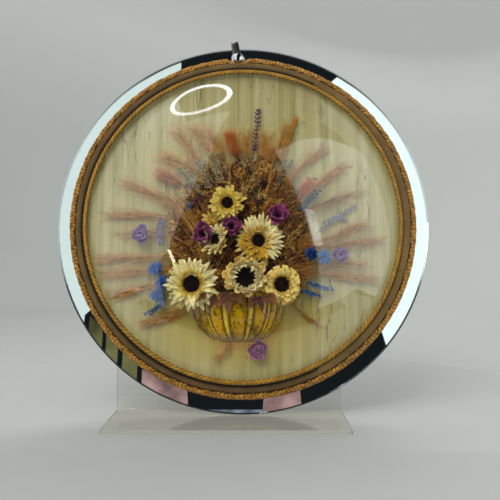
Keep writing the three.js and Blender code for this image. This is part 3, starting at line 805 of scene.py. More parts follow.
place("hanger_loop", hanger_loop(), strap_steel, "hanger", ["hanger_strap"], crease=35)
CAP_BACK = 2.6
cap_outline = [(r, CAP_BACK + h) for r, h in (
    (2.1, 0), (5.3, 0), (5.5, 0.2), (5.5, 0.7), (5.35, 0.95), (4.75, 1.1), (4.5, 1.35), (4.3, 2.0),
    (3.85, 2.75), (3.1, 3.5), (2.1, 4.05), (1.0, 4.34), (0, 4.4), (0, 3.1), (2.1, 3.1))]
turned_piece("cap", cap_outline, chrome, "cap_nut", 64, SCREW, 30)
HEAD_BACK = -7.4
SCREW_TOP = CAP_BACK + 2.8
screw_outline = [(r, HEAD_BACK + h) for r, h in (
    (0, 0), (2.4, 0.05), (3.1, 0.45), (3.45, 1.0), (3.5, 1.8), (1.8, 1.8))]
for thread in range(24):
    level = HEAD_BACK + 2.1 + thread * 0.5
    if level + 0.25 < SCREW_TOP:
        screw_outline += [(1.8, level), (1.62, level + 0.25)]
screw_outline += [(1.7, SCREW_TOP), (0, SCREW_TOP)]
turned_piece("screw", screw_outline, chrome, "hanger_screw", 64, SCREW, 30)
bush_outline = [(2.1, -2.9), (2.7, -2.9), (2.7, -0.1), (2.1, -0.1)]
turned_piece("bush", bush_outline, nylon, "screw_bush", 64, SCREW, 35)
for side, low in (("front", 0.3), ("rear", -3.8)):
    washer_outline = [(2.15, low), (4.6, low), (4.75, low + 0.12), (4.75, low + 0.38), (4.6, low + 0.5),
                      (2.15, low + 0.5)]
    turned_piece(f"washer_{side}", washer_outline, fibre, f"{side}_washer", 64, SCREW, 35)

# ---------------------------------------------------------------- acrylic easel
stand_low, stand_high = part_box("display_stand")
SHEET = 3.0
INNER_BEND = 2.0


def easel_mesh():
    """One bent acrylic sheet with a rounded bend and lightly eased edges."""
    depth = (stand_high.y - stand_low.y) / MM
    height = (stand_high.z - stand_low.z) / MM
    width = (stand_high.x - stand_low.x) / MM
    outer = INNER_BEND + SHEET
    ease = 0.35
    outline = [(0, ease * 0.3), (ease * 0.3, 0)]
    outline += arc((depth - outer, outer), outer, -90, 0, 12)
    outline += [(depth, height - ease), (depth - ease, height), (depth - SHEET + ease, height)]
    outline += [(depth - SHEET, height - ease)]
    outline += [(x, 2 * (SHEET + INNER_BEND) - y) for x, y in
                arc((depth - SHEET - INNER_BEND, SHEET + INNER_BEND), INNER_BEND, 0, 90, 8)]
    outline += [(ease, SHEET), (0, SHEET - ease)]
    outline = np.array(outline)
    layers = [(-width / 2, True), (-width / 2 + ease, False), (width / 2 - ease, False), (width / 2, True)]
    step = unit(np.roll(outline, -1, 0) - np.roll(outline, 1, 0))
    inward = np.stack([-step[:, 1], step[:, 0]], -1)
    points = []
    for x, eased in layers:
        flat = outline + (inward * ease if eased else 0)
        points.append(np.column_stack([np.full(len(flat), x), flat]))
    count = len(outline)
    ends = [end[::-1] for end in end_faces(4, count)]
    sketch = Sketch()
    sketch.add(np.concatenate(points), [ring_faces(4, count), ends])
    mesh = sketch.mesh("acrylic_sheet")
    corner = Vector(((stand_low.x + stand_high.x) / 2, stand_low.y, stand_low.z))
    tidy_mesh(mesh)
    return mesh, Matrix.Translation(corner)


easel, easel_place = easel_mesh()
place("acrylic_sheet", easel, acrylic, "easel", ["display_stand"], easel_place, crease=25)


# ---------------------------------------------------------------- plants: shared helpers
PLANT_REACH = 121.5
CLEAR_OF_GLASS = 0.45


def plant(name, sketch, look, node=None):
    """Makes a piece of dried plant, kept between the board and the inside of the dome."""
    for points in sketch.points:
        radius = np.linalg.norm(points[:, :2], axis=1)
        far = radius > PLANT_REACH
        points[far, :2] *= (PLANT_REACH / radius[far])[:, None]
        radius = np.minimum(radius, PLANT_REACH)
        roof = BUBBLE_CENTRE + np.sqrt(INNER_BUBBLE**2 - radius**2) - CLEAR_OF_GLASS
        points[:, 2] = np.clip(points[:, 2], PLANT_FLOOR - 0.25, roof)
    place(name, sketch.mesh(name), look, replaces=[node] if node else (), crease=0)


def axes_for(direction):
    """Three unit directions, the last of which is the given one."""
    axis = unit(np.array(direction, float))
    hint = np.array([0, 1.0, 0]) if abs(axis[1]) < 0.9 else np.array([1.0, 0, 0])
    across = unit(np.cross(hint, axis))
    return across, np.cross(axis, across), axis


def petal_row(sketch, centre, axes, count, start, length, width, rise, droop, base, tip, up=0.0, turn=0.0,
              points=6, cup=0.35, tip_width=0.12, swell=0.6, jitter=0.1, part=1.0, thick=0.25, columns=5,
              raggedness=0.06):
    """A ring of petals. rise and droop are their angles above the bloom's face at root and tip.

    up lifts the row off the face, and part is how much of the full turn it goes round.
    """
    across, upward, axis = axes
    centre = centre + axis * up
    heading = turn + TAU * part * (np.arange(count) + rng.uniform(-0.25, 0.25, count)) / count
    outward = np.cos(heading)[:, None] * across + np.sin(heading)[:, None] * upward
    lengths = length * np.exp(rng.normal(0, jitter, count))
    t = np.linspace(0, 1, points)
    lift = np.radians(rise + (droop - rise) * t[None] + rng.normal(0, 6, (count, 1)))
    step = lengths[:, None] / (points - 1)
    root = np.zeros((count, 1))
    reach = start + np.concatenate([root, np.cumsum(np.cos(lift[:, :-1]) * step, 1)], 1)
    level = np.concatenate([root, np.cumsum(np.sin(lift[:, :-1]) * step, 1)], 1)
    paths = centre + reach[..., None] * outward[:, None] + level[..., None] * axis
    facing = np.cos(lift)[..., None] * axis - np.sin(lift)[..., None] * outward[:, None]
    shape = np.maximum(np.sin(math.pi * t**swell) ** 0.75, np.linspace(0.45, tip_width, points))
    shape[-1] = tip_width
    widths = width / 2 * shape[None] * np.exp(rng.normal(0, 0.08, (count, 1)))
    ragged = rng.normal(0, raggedness * width, (count, points, columns)) * t[None, :, None]
    colours = shades(base, tip, count, points, 0.08, power=0.8)
    blades(sketch, paths, facing, widths, colours, cup=cup, thick=thick, columns=columns, edge=ragged)


GOLDEN_ANGLE = 2.39996


def seed_centre(sketch, centre, axes, radius, dome, dark, light, count=150):
    """The bloom's dark middle: a low mound set with many tiny pointed florets."""
    across, upward, axis = axes
    k = np.arange(count)
    spot = radius * np.sqrt((k + 0.5) / count)
    heading = k * GOLDEN_ANGLE
    flat = np.cos(heading)[:, None] * across + np.sin(heading)[:, None] * upward
    level = dome * (1 - (spot / radius) ** 2)
    start = centre + spot[:, None] * flat + (level - 0.9)[:, None] * axis
    lean = flat * (spot / radius)[:, None] * 0.45 + axis + rng.normal(0, 0.12, (count, 3))
    length = rng.uniform(1.4, 2.1, (count, 1))
    t = np.linspace(0, 1, 4)[None, :, None]
    paths = start[:, None] + unit(lean)[:, None] * length[:, None] * t
    colours = shades(dark, light, count, 4, 0.2, 0.3, 2.0)
    tubes(sketch, paths, [0.5, 0.55, 0.4, 0.12], colours, facing=across, sides=5)
    rings, sides = 5, 24
    turn = TAU * np.arange(sides) / sides
    share = np.linspace(1, 0.04, rings)
    mound = [centre + (radius * s) * (np.cos(turn)[:, None] * across + np.sin(turn)[:, None] * upward)
             + (dome * (1 - s**2) - 0.5) * axis for s in share]
    mound.insert(0, mound[0] - 1.6 * axis)
    cap = [[5 * sides + i for i in range(sides)], list(range(sides - 1, -1, -1))]
    sketch.add(np.concatenate(mound), [ring_faces(6, sides), cap], dark)


def stem(sketch, foot, head, radius, colour):
    """A wire stem from the foam or board up into a bloom."""
    t = np.linspace(0, 1, 5)[None, :, None]
    path = np.asarray(foot)[None, None] * (1 - t) + np.asarray(head)[None, None] * t
    tubes(sketch, path, radius, colour, facing=(1.0, 0.1, 0), sides=6)


IVORY = srgb(224, 208, 146)
WHITE = srgb(238, 224, 166)
CREAM = srgb(222, 194, 112)
GOLD = srgb(212, 166, 54)
OCHRE = srgb(164, 112, 26)
PALE_YELLOW = srgb(230, 202, 92)
SEED_DARK = srgb(22, 14, 14)
SEED_LIGHT = srgb(52, 30, 22)


def strawflower(name, node, at, direction, seeds, rows, collar=None, foot=17.0):
    """A bloom at (u, v, h): rows of petals from the outside in, a seed centre, a collar, and a stem.

    A row lists what petal_row takes from count to tip, and then what else is special about it.
    """
    sketch = Sketch()
    axes = axes_for(direction)
    centre = np.array(at, float)
    for *values, special in rows:
        petal_row(sketch, centre, axes, *values, **special)
    if seeds:
        seed_centre(sketch, centre + axes[2] * 0.8, axes, seeds, seeds * 0.22, SEED_DARK, SEED_LIGHT,
                    int(26 + seeds**2 * 3))
    if collar:
        petal_row(sketch, centre, axes, *collar[:-1], up=0.6, **collar[-1])
    stem(sketch, (at[0], at[1], foot), centre - axes[2] * 0.4, 0.55, srgb(92, 84, 40))
    plant(name, sketch, petal, node)


# ---------------------------------------------------------------- strawflowers
strawflower("bloom_top", "strawflower_top", (-11.8, 11.0, 27), (0.02, 0.05, 1), 5.2, [
    (18, 4, 9.4, 5.6, 4, -10, GOLD, CREAM, dict(turn=0.2, tip_width=0.35)),
    (19, 4, 8.6, 5.0, 20, 6, OCHRE, PALE_YELLOW, dict(turn=0.5, up=0.5, tip_width=0.3)),
    (20, 4.2, 6.2, 4.0, 34, 20, GOLD, PALE_YELLOW, dict(up=0.9, tip_width=0.25)),
    (20, 4.6, 3.6, 2.4, 46, 40, OCHRE, GOLD, dict(up=1.1)),
], (20, 5.2, 1.8, 1.5, 70, 95, GOLD, OCHRE, dict(points=4)))

strawflower("bloom_side", "strawflower_side", (-18.8, -17.6, 26), (-0.6, 0.1, 1), 6.2, [
    (13, 4, 8.6, 5.6, 24, 30, OCHRE, CREAM, dict(turn=0.4, tip_width=0.3)),
    (13, 4.8, 7.6, 5.0, 46, 52, GOLD, WHITE, dict(up=0.5, tip_width=0.3)),
    (15, 5.4, 6.4, 3.6, 62, 80, IVORY, WHITE, dict(up=0.8)),
], (12, 6.0, 5.6, 2.2, 78, 132, IVORY, WHITE, dict(turn=-1.6, part=0.6)))

strawflower("bloom_behind", "strawflower_behind", (-21.6, -3.0, 20), (-0.2, 0.55, 1), 0, [
    (12, 2.5, 10, 4.8, 34, 28, OCHRE, CREAM, {}),
    (11, 2, 8.6, 4.4, 55, 58, GOLD, PALE_YELLOW, dict(up=0.5)),
    (9, 1, 7, 3.8, 72, 82, GOLD, CREAM, dict(up=0.8)),
])

strawflower("bloom_right", "strawflower_right", (12.0, -17.4, 25), (0.08, 0.04, 1), 5.6, [
    (26, 4.5, 13.5, 4.8, 4, -8, OCHRE, CREAM, dict(tip_width=0.25)),
    (20, 4.5, 15.2, 4.2, 16, 2, CREAM, WHITE, dict(up=0.6, turn=-0.9, part=0.52, tip_width=0.22)),
    (16, 4.5, 12.6, 4.2, 26, 12, GOLD, WHITE, dict(up=0.9, turn=-0.6, part=0.45, tip_width=0.2)),
    (11, 4.5, 11.4, 5.8, 18, 8, OCHRE, GOLD, dict(up=0.5, turn=3.0, part=0.42, tip_width=0.3)),
    (18, 4.8, 7.0, 3.6, 34, 26, OCHRE, GOLD, dict(up=1.0)),
], (15, 6.0, 4.4, 1.8, 75, 118, CREAM, WHITE, dict(points=5, turn=-1.0, part=0.6)))

strawflower("bloom_lower_left", "strawflower_lower_left", (-38.2, -50.6, 25.5),
            (-0.04, -0.02, 1), 6.8, [
    (20, 6, 13.0, 6.4, -2, -12, OCHRE, CREAM, dict(turn=0.1, tip_width=0.3)),
    (22, 6, 14.2, 5.6, 8, -2, CREAM, WHITE, dict(up=0.5, tip_width=0.22)),
    (22, 6, 12.0, 5.2, 18, 6, PALE_YELLOW, WHITE, dict(up=0.9, turn=0.2, tip_width=0.22)),
    (24, 6.2, 5.4, 3.0, 32, 20, OCHRE, PALE_YELLOW, dict(up=1.2)),
    (26, 6.6, 2.4, 1.8, 55, 50, OCHRE, GOLD, dict(up=1.3)),
], (6, 6.8, 4.2, 1.9, 78, 125, IVORY, WHITE, dict(turn=1.1, part=0.22)), foot=6.0)

CREAM_TIP = srgb(240, 228, 176)
strawflower("bloom_lower_mid", "strawflower_lower_mid", (1.8, -45.4, 26),
            (0.05, -0.1, 1), 8.8, [
    (10, 5.5, 12.5, 10, 8, 30, srgb(206, 146, 50), srgb(234, 198, 108), dict(tip_width=0.5, swell=0.8)),
    (10, 6.4, 11.5, 9.0, 30, 62, srgb(222, 176, 84), srgb(240, 214, 140),
     dict(cup=0.4, up=0.6, tip_width=0.45, turn=0.4, swell=0.8)),
    (12, 8.0, 9.6, 7.0, 52, 92, CREAM, CREAM_TIP, dict(cup=0.45, up=0.9, tip_width=0.35, swell=0.75)),
    (14, 9.0, 8.4, 5.0, 66, 128, CREAM, CREAM_TIP, dict(up=1.0, tip_width=0.2)),
], (16, 9.0, 9.6, 3.2, 66, 165, IVORY, CREAM_TIP, dict(points=7, jitter=0.22)))

strawflower("bloom_lower_right", "strawflower_lower_right", (29.2, -51.0, 25.5),
            (0.06, -0.04, 1), 6.2, [
    (13, 5, 9.4, 8.6, 4, 2, srgb(212, 160, 54), srgb(232, 196, 100),
     dict(tip_width=0.6, jitter=0.05, raggedness=0.02)),
    (12, 5.2, 8.8, 8.0, 18, 16, srgb(228, 184, 74), srgb(240, 212, 122),
     dict(up=0.6, tip_width=0.6, turn=0.3, jitter=0.05, raggedness=0.02)),
    (12, 5.6, 6.2, 6.0, 34, 34, srgb(224, 180, 78), srgb(240, 214, 130), dict(up=1.0, tip_width=0.5)),
    (18, 6.0, 2.8, 2.2, 60, 60, OCHRE, GOLD, dict(up=1.2)),
], foot=6.0)


# ---------------------------------------------------------------- papery cups and blue florets
def papery_cup(name, node, at, direction, radius, petals, base, tip, foot, rows=2):
    sketch = Sketch()
    axes = axes_for(direction)
    centre = np.array(at, float)
    for k in range(rows):
        petal_row(sketch, centre, axes, petals, radius * 0.18, radius * (1.15 - 0.2 * k), radius * 1.3,
                  28 + 22 * k, 52 + 26 * k, base, tip, up=0.5 * k, turn=0.5 * k + at[0], points=7, cup=0.55,
                  tip_width=0.55, swell=0.95, raggedness=0.09, thick=0.3)
    dark, less_dark = np.array(base) * 0.4, np.array(base) * 0.7
    petal_row(sketch, centre, axes, 8, 0.2, radius * 0.42, radius * 0.3, 60, 80, dark, less_dark, points=4)
    stem(sketch, (at[0], at[1], foot), centre, 0.5, srgb(80, 66, 40))
    plant(name, sketch, papery, node)


PURPLE = srgb(58, 18, 42)
PLUM = srgb(150, 62, 112)
LILAC = srgb(104, 70, 128)
LILAC_TIP = srgb(152, 112, 170)
MAGENTA = srgb(112, 44, 92)
MAGENTA_TIP = srgb(166, 92, 140)
PURPLE_CUPS = [("left", (-29.4, -13.2, 23), (-0.1, 0.05, 1), 8.0, 16),
               ("mid", (-9.6, -7.2, 25.5), (0.3, 0.15, 1), 7.2, 17),
               ("right", (26.6, 0.6, 24), (0.05, 0.25, 1), 8.2, 16)]
LILAC_CUPS = [("left", (-79.3, -10.8, 9.5), (-0.1, 0, 1), 6.6),
              ("right", (76.1, -26.7, 9.5), (0.1, 0, 1), 6.4)]
for side, at, direction, radius, foot in PURPLE_CUPS:
    papery_cup(f"cup_{side}", f"purple_cup_{side}", at, direction, radius, 4, PURPLE, PLUM,
               foot)
for side, at, direction, radius in LILAC_CUPS:
    papery_cup(f"cup_lilac_{side}", f"lilac_cup_{side}", at, direction, radius, 5, LILAC,
               LILAC_TIP, PLANT_FLOOR, 3)
papery_cup("cup_magenta", "magenta_cup_low", (11.7, -99.5, 7.6), (0.1, -0.1, 1), 7.2, 5,
           MAGENTA, MAGENTA_TIP, PLANT_FLOOR, 3)


def blue_floret(name, node, at, radius, deep, bright, foot=5.6):
    """A ball of small pointed petals."""
    sketch = Sketch()
    centre = np.array(at, float)
    for direction in ((0, 0, 1), (0.7, 0.2, 0.8), (-0.5, 0.6, 0.8), (-0.2, -0.8, 0.7)):
        axes = axes_for(direction)
        petal_row(sketch, centre, axes, 9, 0.3, radius * 1.05, radius * 0.5, 30, 12, deep, bright, points=5,
                  cup=0.5, tip_width=0.2, columns=3, turn=rng.uniform(0, TAU))
        petal_row(sketch, centre, axes, 6, 0.2, radius * 0.7, radius * 0.4, 62, 48, deep, bright, up=0.4,
                  points=4, cup=0.5, columns=3)
    stem(sketch, (at[0], at[1], foot), centre, 0.5, srgb(60, 66, 50))
    plant(name, sketch, petal, node)


BLUE = srgb(28, 54, 110)
BLUE_BRIGHT = srgb(44, 106, 190)
BLUE_PALE = srgb(70, 134, 200)
for level, at in (("top", (-68, -37.7, 11)), ("mid", (-62, -48.8, 11.5)), ("low", (-65.4, -58.6, 11))):
    blue_floret(f"blue_left_{level}", f"blue_floret_left_{level}", at, 5.4, BLUE, BLUE_BRIGHT)
blue_floret("blue_right", "blue_floret_right", (63.2, -28.9, 12.5), 5.6, BLUE, BLUE_PALE)
blue_floret("blue_right_inner", "blue_floret_right_inner", (52.6, -26.8, 18), 5.0, srgb(20, 34, 84),
            srgb(36, 74, 140), 16)


# ---------------------------------------------------------------- grasses, plumes, tufts and sprigs
def bezier(start, middle, end, steps):
    """Points along many bent paths: start, middle and end are (shapes, 3) or (3,)."""
    t = np.linspace(0, 1, steps)[None, :, None]
    start, middle, end = (np.atleast_2d(np.asarray(p, float))[:, None] for p in (start, middle, end))
    return (1 - t) ** 2 * start + 2 * t * (1 - t) * middle + t**2 * end


NEAR_BOARD = 7.4


def grass_ear(name, node, slot, start, tip, width, base, end, spikelets=70, awn=0.45, bend=0.0,
              stalk_from=None, lowest=0.15):
    """A slender grass head: a stalk, narrow overlapping spikelets, and fine awns past them."""
    sketch = Sketch()
    start, tip = np.array([*start, NEAR_BOARD]), np.array([*tip, NEAR_BOARD])
    run = tip - start
    length = np.linalg.norm(run)
    heading = run / length
    side = np.array([-heading[1], heading[0], 0])
    middle = (start + tip) / 2 + side * bend
    root = np.array([*stalk_from, NEAR_BOARD + 2.0]) if stalk_from else start
    tubes(sketch, bezier(root, start, start + heading * 0.2, 6), [0.45] * 6, base, sides=6)
    tubes(sketch, bezier(start, middle, tip, 12), np.linspace(0.42, 0.1, 12), base, sides=6)
    t = rng.uniform(lowest, 1.0, spikelets)
    at = bezier(start, middle, tip, 101)[0][(t * 100).astype(int)]
    swing = rng.choice([-1.0, 1.0], spikelets) * rng.uniform(0.05, 0.35, spikelets)
    lift = rng.normal(0, 0.16, spikelets)
    way = unit(heading + side * swing[:, None] + np.array([0, 0, 1.0]) * lift[:, None])
    reach = width * rng.uniform(0.8, 1.5, (spikelets, 1)) * (1.15 - 0.5 * t[:, None])
    end_at = at + way * reach
    bulge = at + way * reach * 0.5 + side * swing[:, None] * width * 0.25
    widths = np.array([0.12, 0.42, 0.5, 0.34, 0.06]) * width / 6.5
    blades(sketch, bezier(at, bulge, end_at, 5), (0, 0, 1.0), widths, shades(base, end, spikelets, 5),
           cup=0.5, thick=0.16)
    awns = int(spikelets * 1.6)
    pick = rng.integers(0, spikelets, awns)
    awn_way = unit(way[pick] + rng.normal(0, 0.16, (awns, 3)) * [1, 1, 0.3])
    far = end_at[pick] + awn_way * length * awn * rng.uniform(0.3, 1.0, (awns, 1))
    tubes(sketch, bezier(at[pick], end_at[pick], far, 5), [0.11, 0.1, 0.09, 0.07, 0.03],
          shades(base, end, awns, 5))
    plant(name, sketch, straw, node)


TAN = srgb(184, 128, 66)
PEACH = srgb(220, 170, 104)
LEFT_EARS = [((-62, 19), (-90.7, 30.1), 5, (-34, 4)), ((-66, 6), (-101.9, 5.6), 6, (-36, 0)),
             ((-71, -28.4), (-109.5, -29.7), 6, (-44, -24)), ((-75, -39.4), (-102.8, -40.6), 6, (-50, -34)),
             ((-72, -50.5), (-92.1, -57.3), 8, (-50, -44))]
RIGHT_EARS = [((46, 44.5), (62.1, 56.6), 4, (30, 26)), ((57, 27.5), (75.5, 40.8), 5, (36, 14)),
              ((67, -14), (90.5, -2.5), 4, (48, -20)), ((72, -18.6), (100.5, -15.4), 4, (50, -22)),
              ((64.4, -42.4), (93.4, -44.7), 6, (46, -40))]
for side, ears, spikelets, bend in (("left", LEFT_EARS, 58, 1.5), ("right", RIGHT_EARS, 54, 1.2)):
    for k, (start, tip, width, root) in enumerate(ears, 1):
        grass_ear(f"ear_{side}_{k}", f"grass_ear_{side}_{k}", "grass_tan", start, tip, width, TAN, PEACH,
                  spikelets, bend=(-1) ** k * bend, stalk_from=root)
ORANGES = (srgb(172, 112, 44), srgb(200, 136, 36))
grass_ear("ear_low_left", "grass_ear_low_left", "grass_orange", (-43, -71.5), (-72.1, -78.2), 7, *ORANGES,
          110, 0.3, 2.0)
grass_ear("ear_low_right", "grass_ear_low_right", "grass_orange", (38, -64), (57.7, -80.5), 3, *ORANGES,
          40, 0.3, -2.5)
grass_ear("orange_spike", "orange_ear", "grass_orange", (28.5, 47), (41.2, 81.8), 6, *ORANGES, 130, 0.12,
          lowest=0.05)
grass_ear("catkin", "catkin_right", "grass_tan", (60, 13.2), (81.5, 21), 5, srgb(92, 88, 74),
          srgb(150, 146, 128), 120, 0.08, stalk_from=(40, 6))


def hairs(count, spine, out_low, out_high, length, bias=(0, 0, 0), curl=0.25, flat=0.6, steps=5):
    """Many bent hairs that leave a spine (points, 3) and sweep towards its end."""
    pick = rng.integers(0, len(spine) - 1, count)
    start = spine[pick] + (spine[pick + 1] - spine[pick]) * rng.uniform(0, 1, (count, 1))
    heading = unit(spine[pick + 1] - spine[pick])
    away = rng.normal(0, 1, (count, 3)) * [1, 1, flat]
    away = unit(away - (away * heading).sum(1, keepdims=True) * heading)
    lean = np.radians(rng.uniform(out_low, out_high, (count, 1)))
    way = unit(np.cos(lean) * heading + np.sin(lean) * away + np.asarray(bias))
    reach = length * rng.uniform(0.55, 1.15, (count, 1))
    middle = start + way * reach * 0.5
    end = middle + unit(way + heading * curl + np.asarray(bias)) * reach * 0.5
    return bezier(start, middle, end, steps)


def tuft(name, node, start, tip, length, level, base, end, count, high):
    """A soft brush of fine hairs, like a bunny-tail head."""
    sketch = Sketch()
    a = np.array([*start, level])
    b = np.array([*tip, level])
    spine = bezier(a, (a + b) / 2, b, 8)[0]
    tubes(sketch, hairs(count, spine, 6, high, length), [0.1, 0.1, 0.08, 0.06, 0.02],
          shades(base, end, count, 5, 0.2))
    tubes(sketch, bezier(a - (b - a) * 0.6, a, b, 8), np.linspace(0.6, 0.3, 8), base, sides=6)
    plant(name, sketch, fuzz, node)


tuft("tuft_red", "red_tuft_top", (-4.5, 50), (-9.5, 66), 12, 10.5, srgb(150, 52, 20),
     srgb(218, 134, 48), 1100, 42)
tuft("tuft_brown", "brown_tuft_top", (18.5, 44), (21.6, 54), 11, 9.5, srgb(150, 88, 34),
     srgb(212, 152, 74), 700, 42)
tuft("tuft_pink_left", "pink_tuft_left", (-48, 30), (-62, 37), 13, 9.5, srgb(184, 104, 70),
     srgb(222, 162, 112), 750, 46)
tuft("tuft_pink_right", "pink_tuft_right", (44, 18), (49.5, 25), 11, 18, srgb(184, 88, 58),
     srgb(220, 150, 104), 650, 50)


def plume(name, node, lines, length, count):
    """Feathery pampas plumes of very fine hairs, one along each line."""
    sketch = Sketch()
    for begin, finish in lines:
        a = np.array([*begin, NEAR_BOARD])
        b = np.array([*finish, NEAR_BOARD])
        spine = bezier(a, (a + b) / 2 + [1.5, 0, 0], b, 14)[0]
        tubes(sketch, hairs(count, spine, 8, 44, length, curl=0.5, flat=0.25), [0.08, 0.08, 0.07, 0.06, 0.03],
              shades(BUFF, BUFF_TIP, count, 5))
        tubes(sketch, spine[None], np.linspace(0.4, 0.12, 14), BUFF, sides=5)
    plant(name, sketch, fuzz, node)


BUFF = srgb(204, 146, 66)
BUFF_TIP = srgb(232, 190, 108)
plume("plume_left", "plume_upper_left", [((-34, 44), (-52, 72)), ((-36, 40), (-60, 52))], 16, 330)
plume("plume_mid", "plume_upper_mid", [((-20, 46), (-39, 75)), ((-14, 48), (-27, 71)), ((0, 50), (2, 66)),
                                       ((12, 48), (17, 66)), ((24, 48), (35, 76))], 16, 330)
plume("plume_low", "plume_below_bowl", [((-8.5, -94), (-17.6, -104))], 9, 380)


def budded_sprig(sketch, path, pairs, bud, base, tip, spread, stalk, stalk_colour=None):
    """A stalk with small pointed buds in threes, to the left, to the right and ahead."""
    steps = len(path)
    tubes(sketch, path[None], np.linspace(stalk, stalk * 0.5, steps), stalk_colour or base, sides=5)
    at = np.repeat(np.linspace(steps * 0.06, steps - 1.01, pairs), 3) + rng.uniform(-0.3, 0, 3 * pairs)
    low = at.astype(int)
    start = path[low] + (path[low + 1] - path[low]) * (at - low)[:, None]
    heading = unit(path[low + 1] - path[low])
    side = unit(np.cross(heading, [0, 0, 1.0]))
    swing = np.tile([-1.0, 1.0, 0.15], pairs) * spread * rng.uniform(0.7, 1.3, 3 * pairs)
    way = unit(heading + side * swing[:, None] + np.array([0, 0, 0.5]) * rng.uniform(-0.3, 1, (3 * pairs, 1)))
    reach = bud * rng.uniform(0.7, 1.25, (3 * pairs, 1))
    middle = start + way * reach * 0.55 + side * swing[:, None] * 0.15 * bud
    tubes(sketch, bezier(start, middle, start + way * reach, 5),
          np.array([0.25, 0.7, 0.85, 0.6, 0.1]) * bud * 0.2, shades(base, tip, 3 * pairs, 5, 0.2), sides=5)


def statice():
    sketch = Sketch()
    path = bezier((6.5, 44, 8.6), (10.5, 66, 8.0), (12.1, 91.6, 7.6), 30)[0]
    budded_sprig(sketch, path[8:], 11, 3.8, srgb(66, 42, 62), srgb(110, 80, 112), 1.05, 0.3)
    tubes(sketch, path[None, :10], 0.35, srgb(90, 70, 50), sides=5)
    plant("statice", sketch, straw, "statice_sprig")


def lilac_right():
    sketch = Sketch()
    for start, middle, end, count in (((58, -9), (74, 4), (87.7, 12.1), 13), ((62, -2), (74, 6), (80, 2), 7)):
        budded_sprig(sketch, bezier((*start, 8.4), (*middle, 8.2), (*end, 7.4), 24)[0], count, 3.4,
                     srgb(104, 104, 118), srgb(152, 152, 166), 0.7, 0.3, srgb(96, 100, 84))
    plant("lilac_sprig", sketch, straw, "lilac_sprig_right")


statice()
lilac_right()


def rim_leaf_cluster():
    """Dark lobed leaves that hang over the bowl's rim."""
    sketch = Sketch()
    for u, v, heading, size, dark, light in (
        (-10.5, -57, -2.2, 16, srgb(78, 44, 34), srgb(128, 84, 52)),
        (-11.0, -57, -1.5, 18, srgb(74, 40, 36), srgb(132, 86, 54)),
        (-8, -58, -0.75, 14, srgb(84, 48, 32), srgb(136, 88, 50)),
        (-20, -59, -1.9, 12, srgb(70, 40, 38), srgb(110, 70, 44)),
        (10.5, -60, -2.2, 12, srgb(68, 38, 36), srgb(122, 78, 52)),
        (12.5, -60, -1.4, 13, srgb(58, 32, 34), srgb(112, 72, 54)),
        (14.5, -59, -0.7, 11, srgb(90, 52, 34), srgb(132, 84, 44)),
        (19, -58, -0.9, 12, srgb(96, 58, 30), srgb(146, 98, 44)),
        (-27, -58, -2.4, 10, srgb(84, 52, 30), srgb(132, 88, 40)),
    ):
        for lobe, share in ((0, 1.0), (-0.55, 0.6), (0.55, 0.6)):
            a = heading + lobe
            way = np.array([math.cos(a), math.sin(a), 0])
            start = np.array([u, v, 31.4])
            end = start + way * size * share
            end[2] = 32.0 + rng.uniform(-0.6, 0.6)
            middle = (start + end) / 2 + [0, 0, 1.2]
            widths = np.array([0.15, 0.5, 0.85, 1.0, 0.9, 0.62, 0.3, 0.05]) * size * share * 0.17
            blades(sketch, bezier(start, middle, end, 8), (0, 0, 1.0), widths, shades(dark, light, 1, 8),
                   cup=0.35, thick=0.3, columns=5, edge=rng.normal(0, 0.22, (1, 8, 5)))
    plant("rim_leaf_cluster", sketch, papery, "rim_leaves")


rim_leaf_cluster()


# ---------------------------------------------------------------- heather filler and foam
BROWNS = [srgb(158, 106, 42), srgb(122, 74, 32), srgb(192, 142, 60), srgb(68, 42, 32), srgb(170, 112, 40),
          srgb(138, 96, 56), srgb(104, 54, 34), srgb(200, 158, 84), srgb(60, 34, 36)]
FAN_ROOT = np.array([-3.0, -46.0])
FOAM_TOP = PLANT_FLOOR + 11.0


def heather_mass(name, low_angle, high_angle, count):
    """Short crooked twigs with fine needles, crowded between and behind the blooms."""
    sketch = Sketch()
    for _ in range(count):
        a = math.radians(rng.uniform(low_angle, high_angle))
        edge = 58 + 42 * math.sin(a) ** 2 - 3 * math.cos(2 * a)  # how far the bouquet reaches this way
        share = 0.06 + 0.9 * rng.uniform() ** 0.6
        reach = edge * share
        end = FAN_ROOT + reach * np.array([math.cos(a), math.sin(a)])
        heading = a + rng.normal(0, 0.75)
        begin = end - rng.uniform(7, 15) * np.array([math.cos(heading), math.sin(heading)])
        over_foam = -31 < end[0] < 25 and end[1] < 22
        if over_foam:
            low = FOAM_TOP + 0.3
        else:
            low = PLANT_FLOOR + 2.0 + 9.0 * (1 - share**2) * rng.uniform(0.3, 1.0)
        start = np.array([*begin, low])
        finish = np.array([*end, low + rng.uniform(0.5, 4.5)])
        colour = np.array(BROWNS[rng.integers(len(BROWNS))])
        bow = np.array([*rng.normal(0, 3.0, 2), rng.uniform(0, 2)])
        spine = bezier(start, (start + finish) / 2 + bow, finish, 9)[0]
        tubes(sketch, spine[None], np.linspace(0.26, 0.12, 9), colour * 0.6, sides=3)
        needles = 24
        paths = hairs(needles, spine, 18, 80, rng.uniform(2.0, 4.6), curl=0.5, flat=0.8, steps=3)
        tubes(sketch, paths, [0.14, 0.3, 0.06], shades(colour * 0.8, colour * 1.8, needles, 3, 0.3))
    plant(name, sketch, straw, "heather_filler")


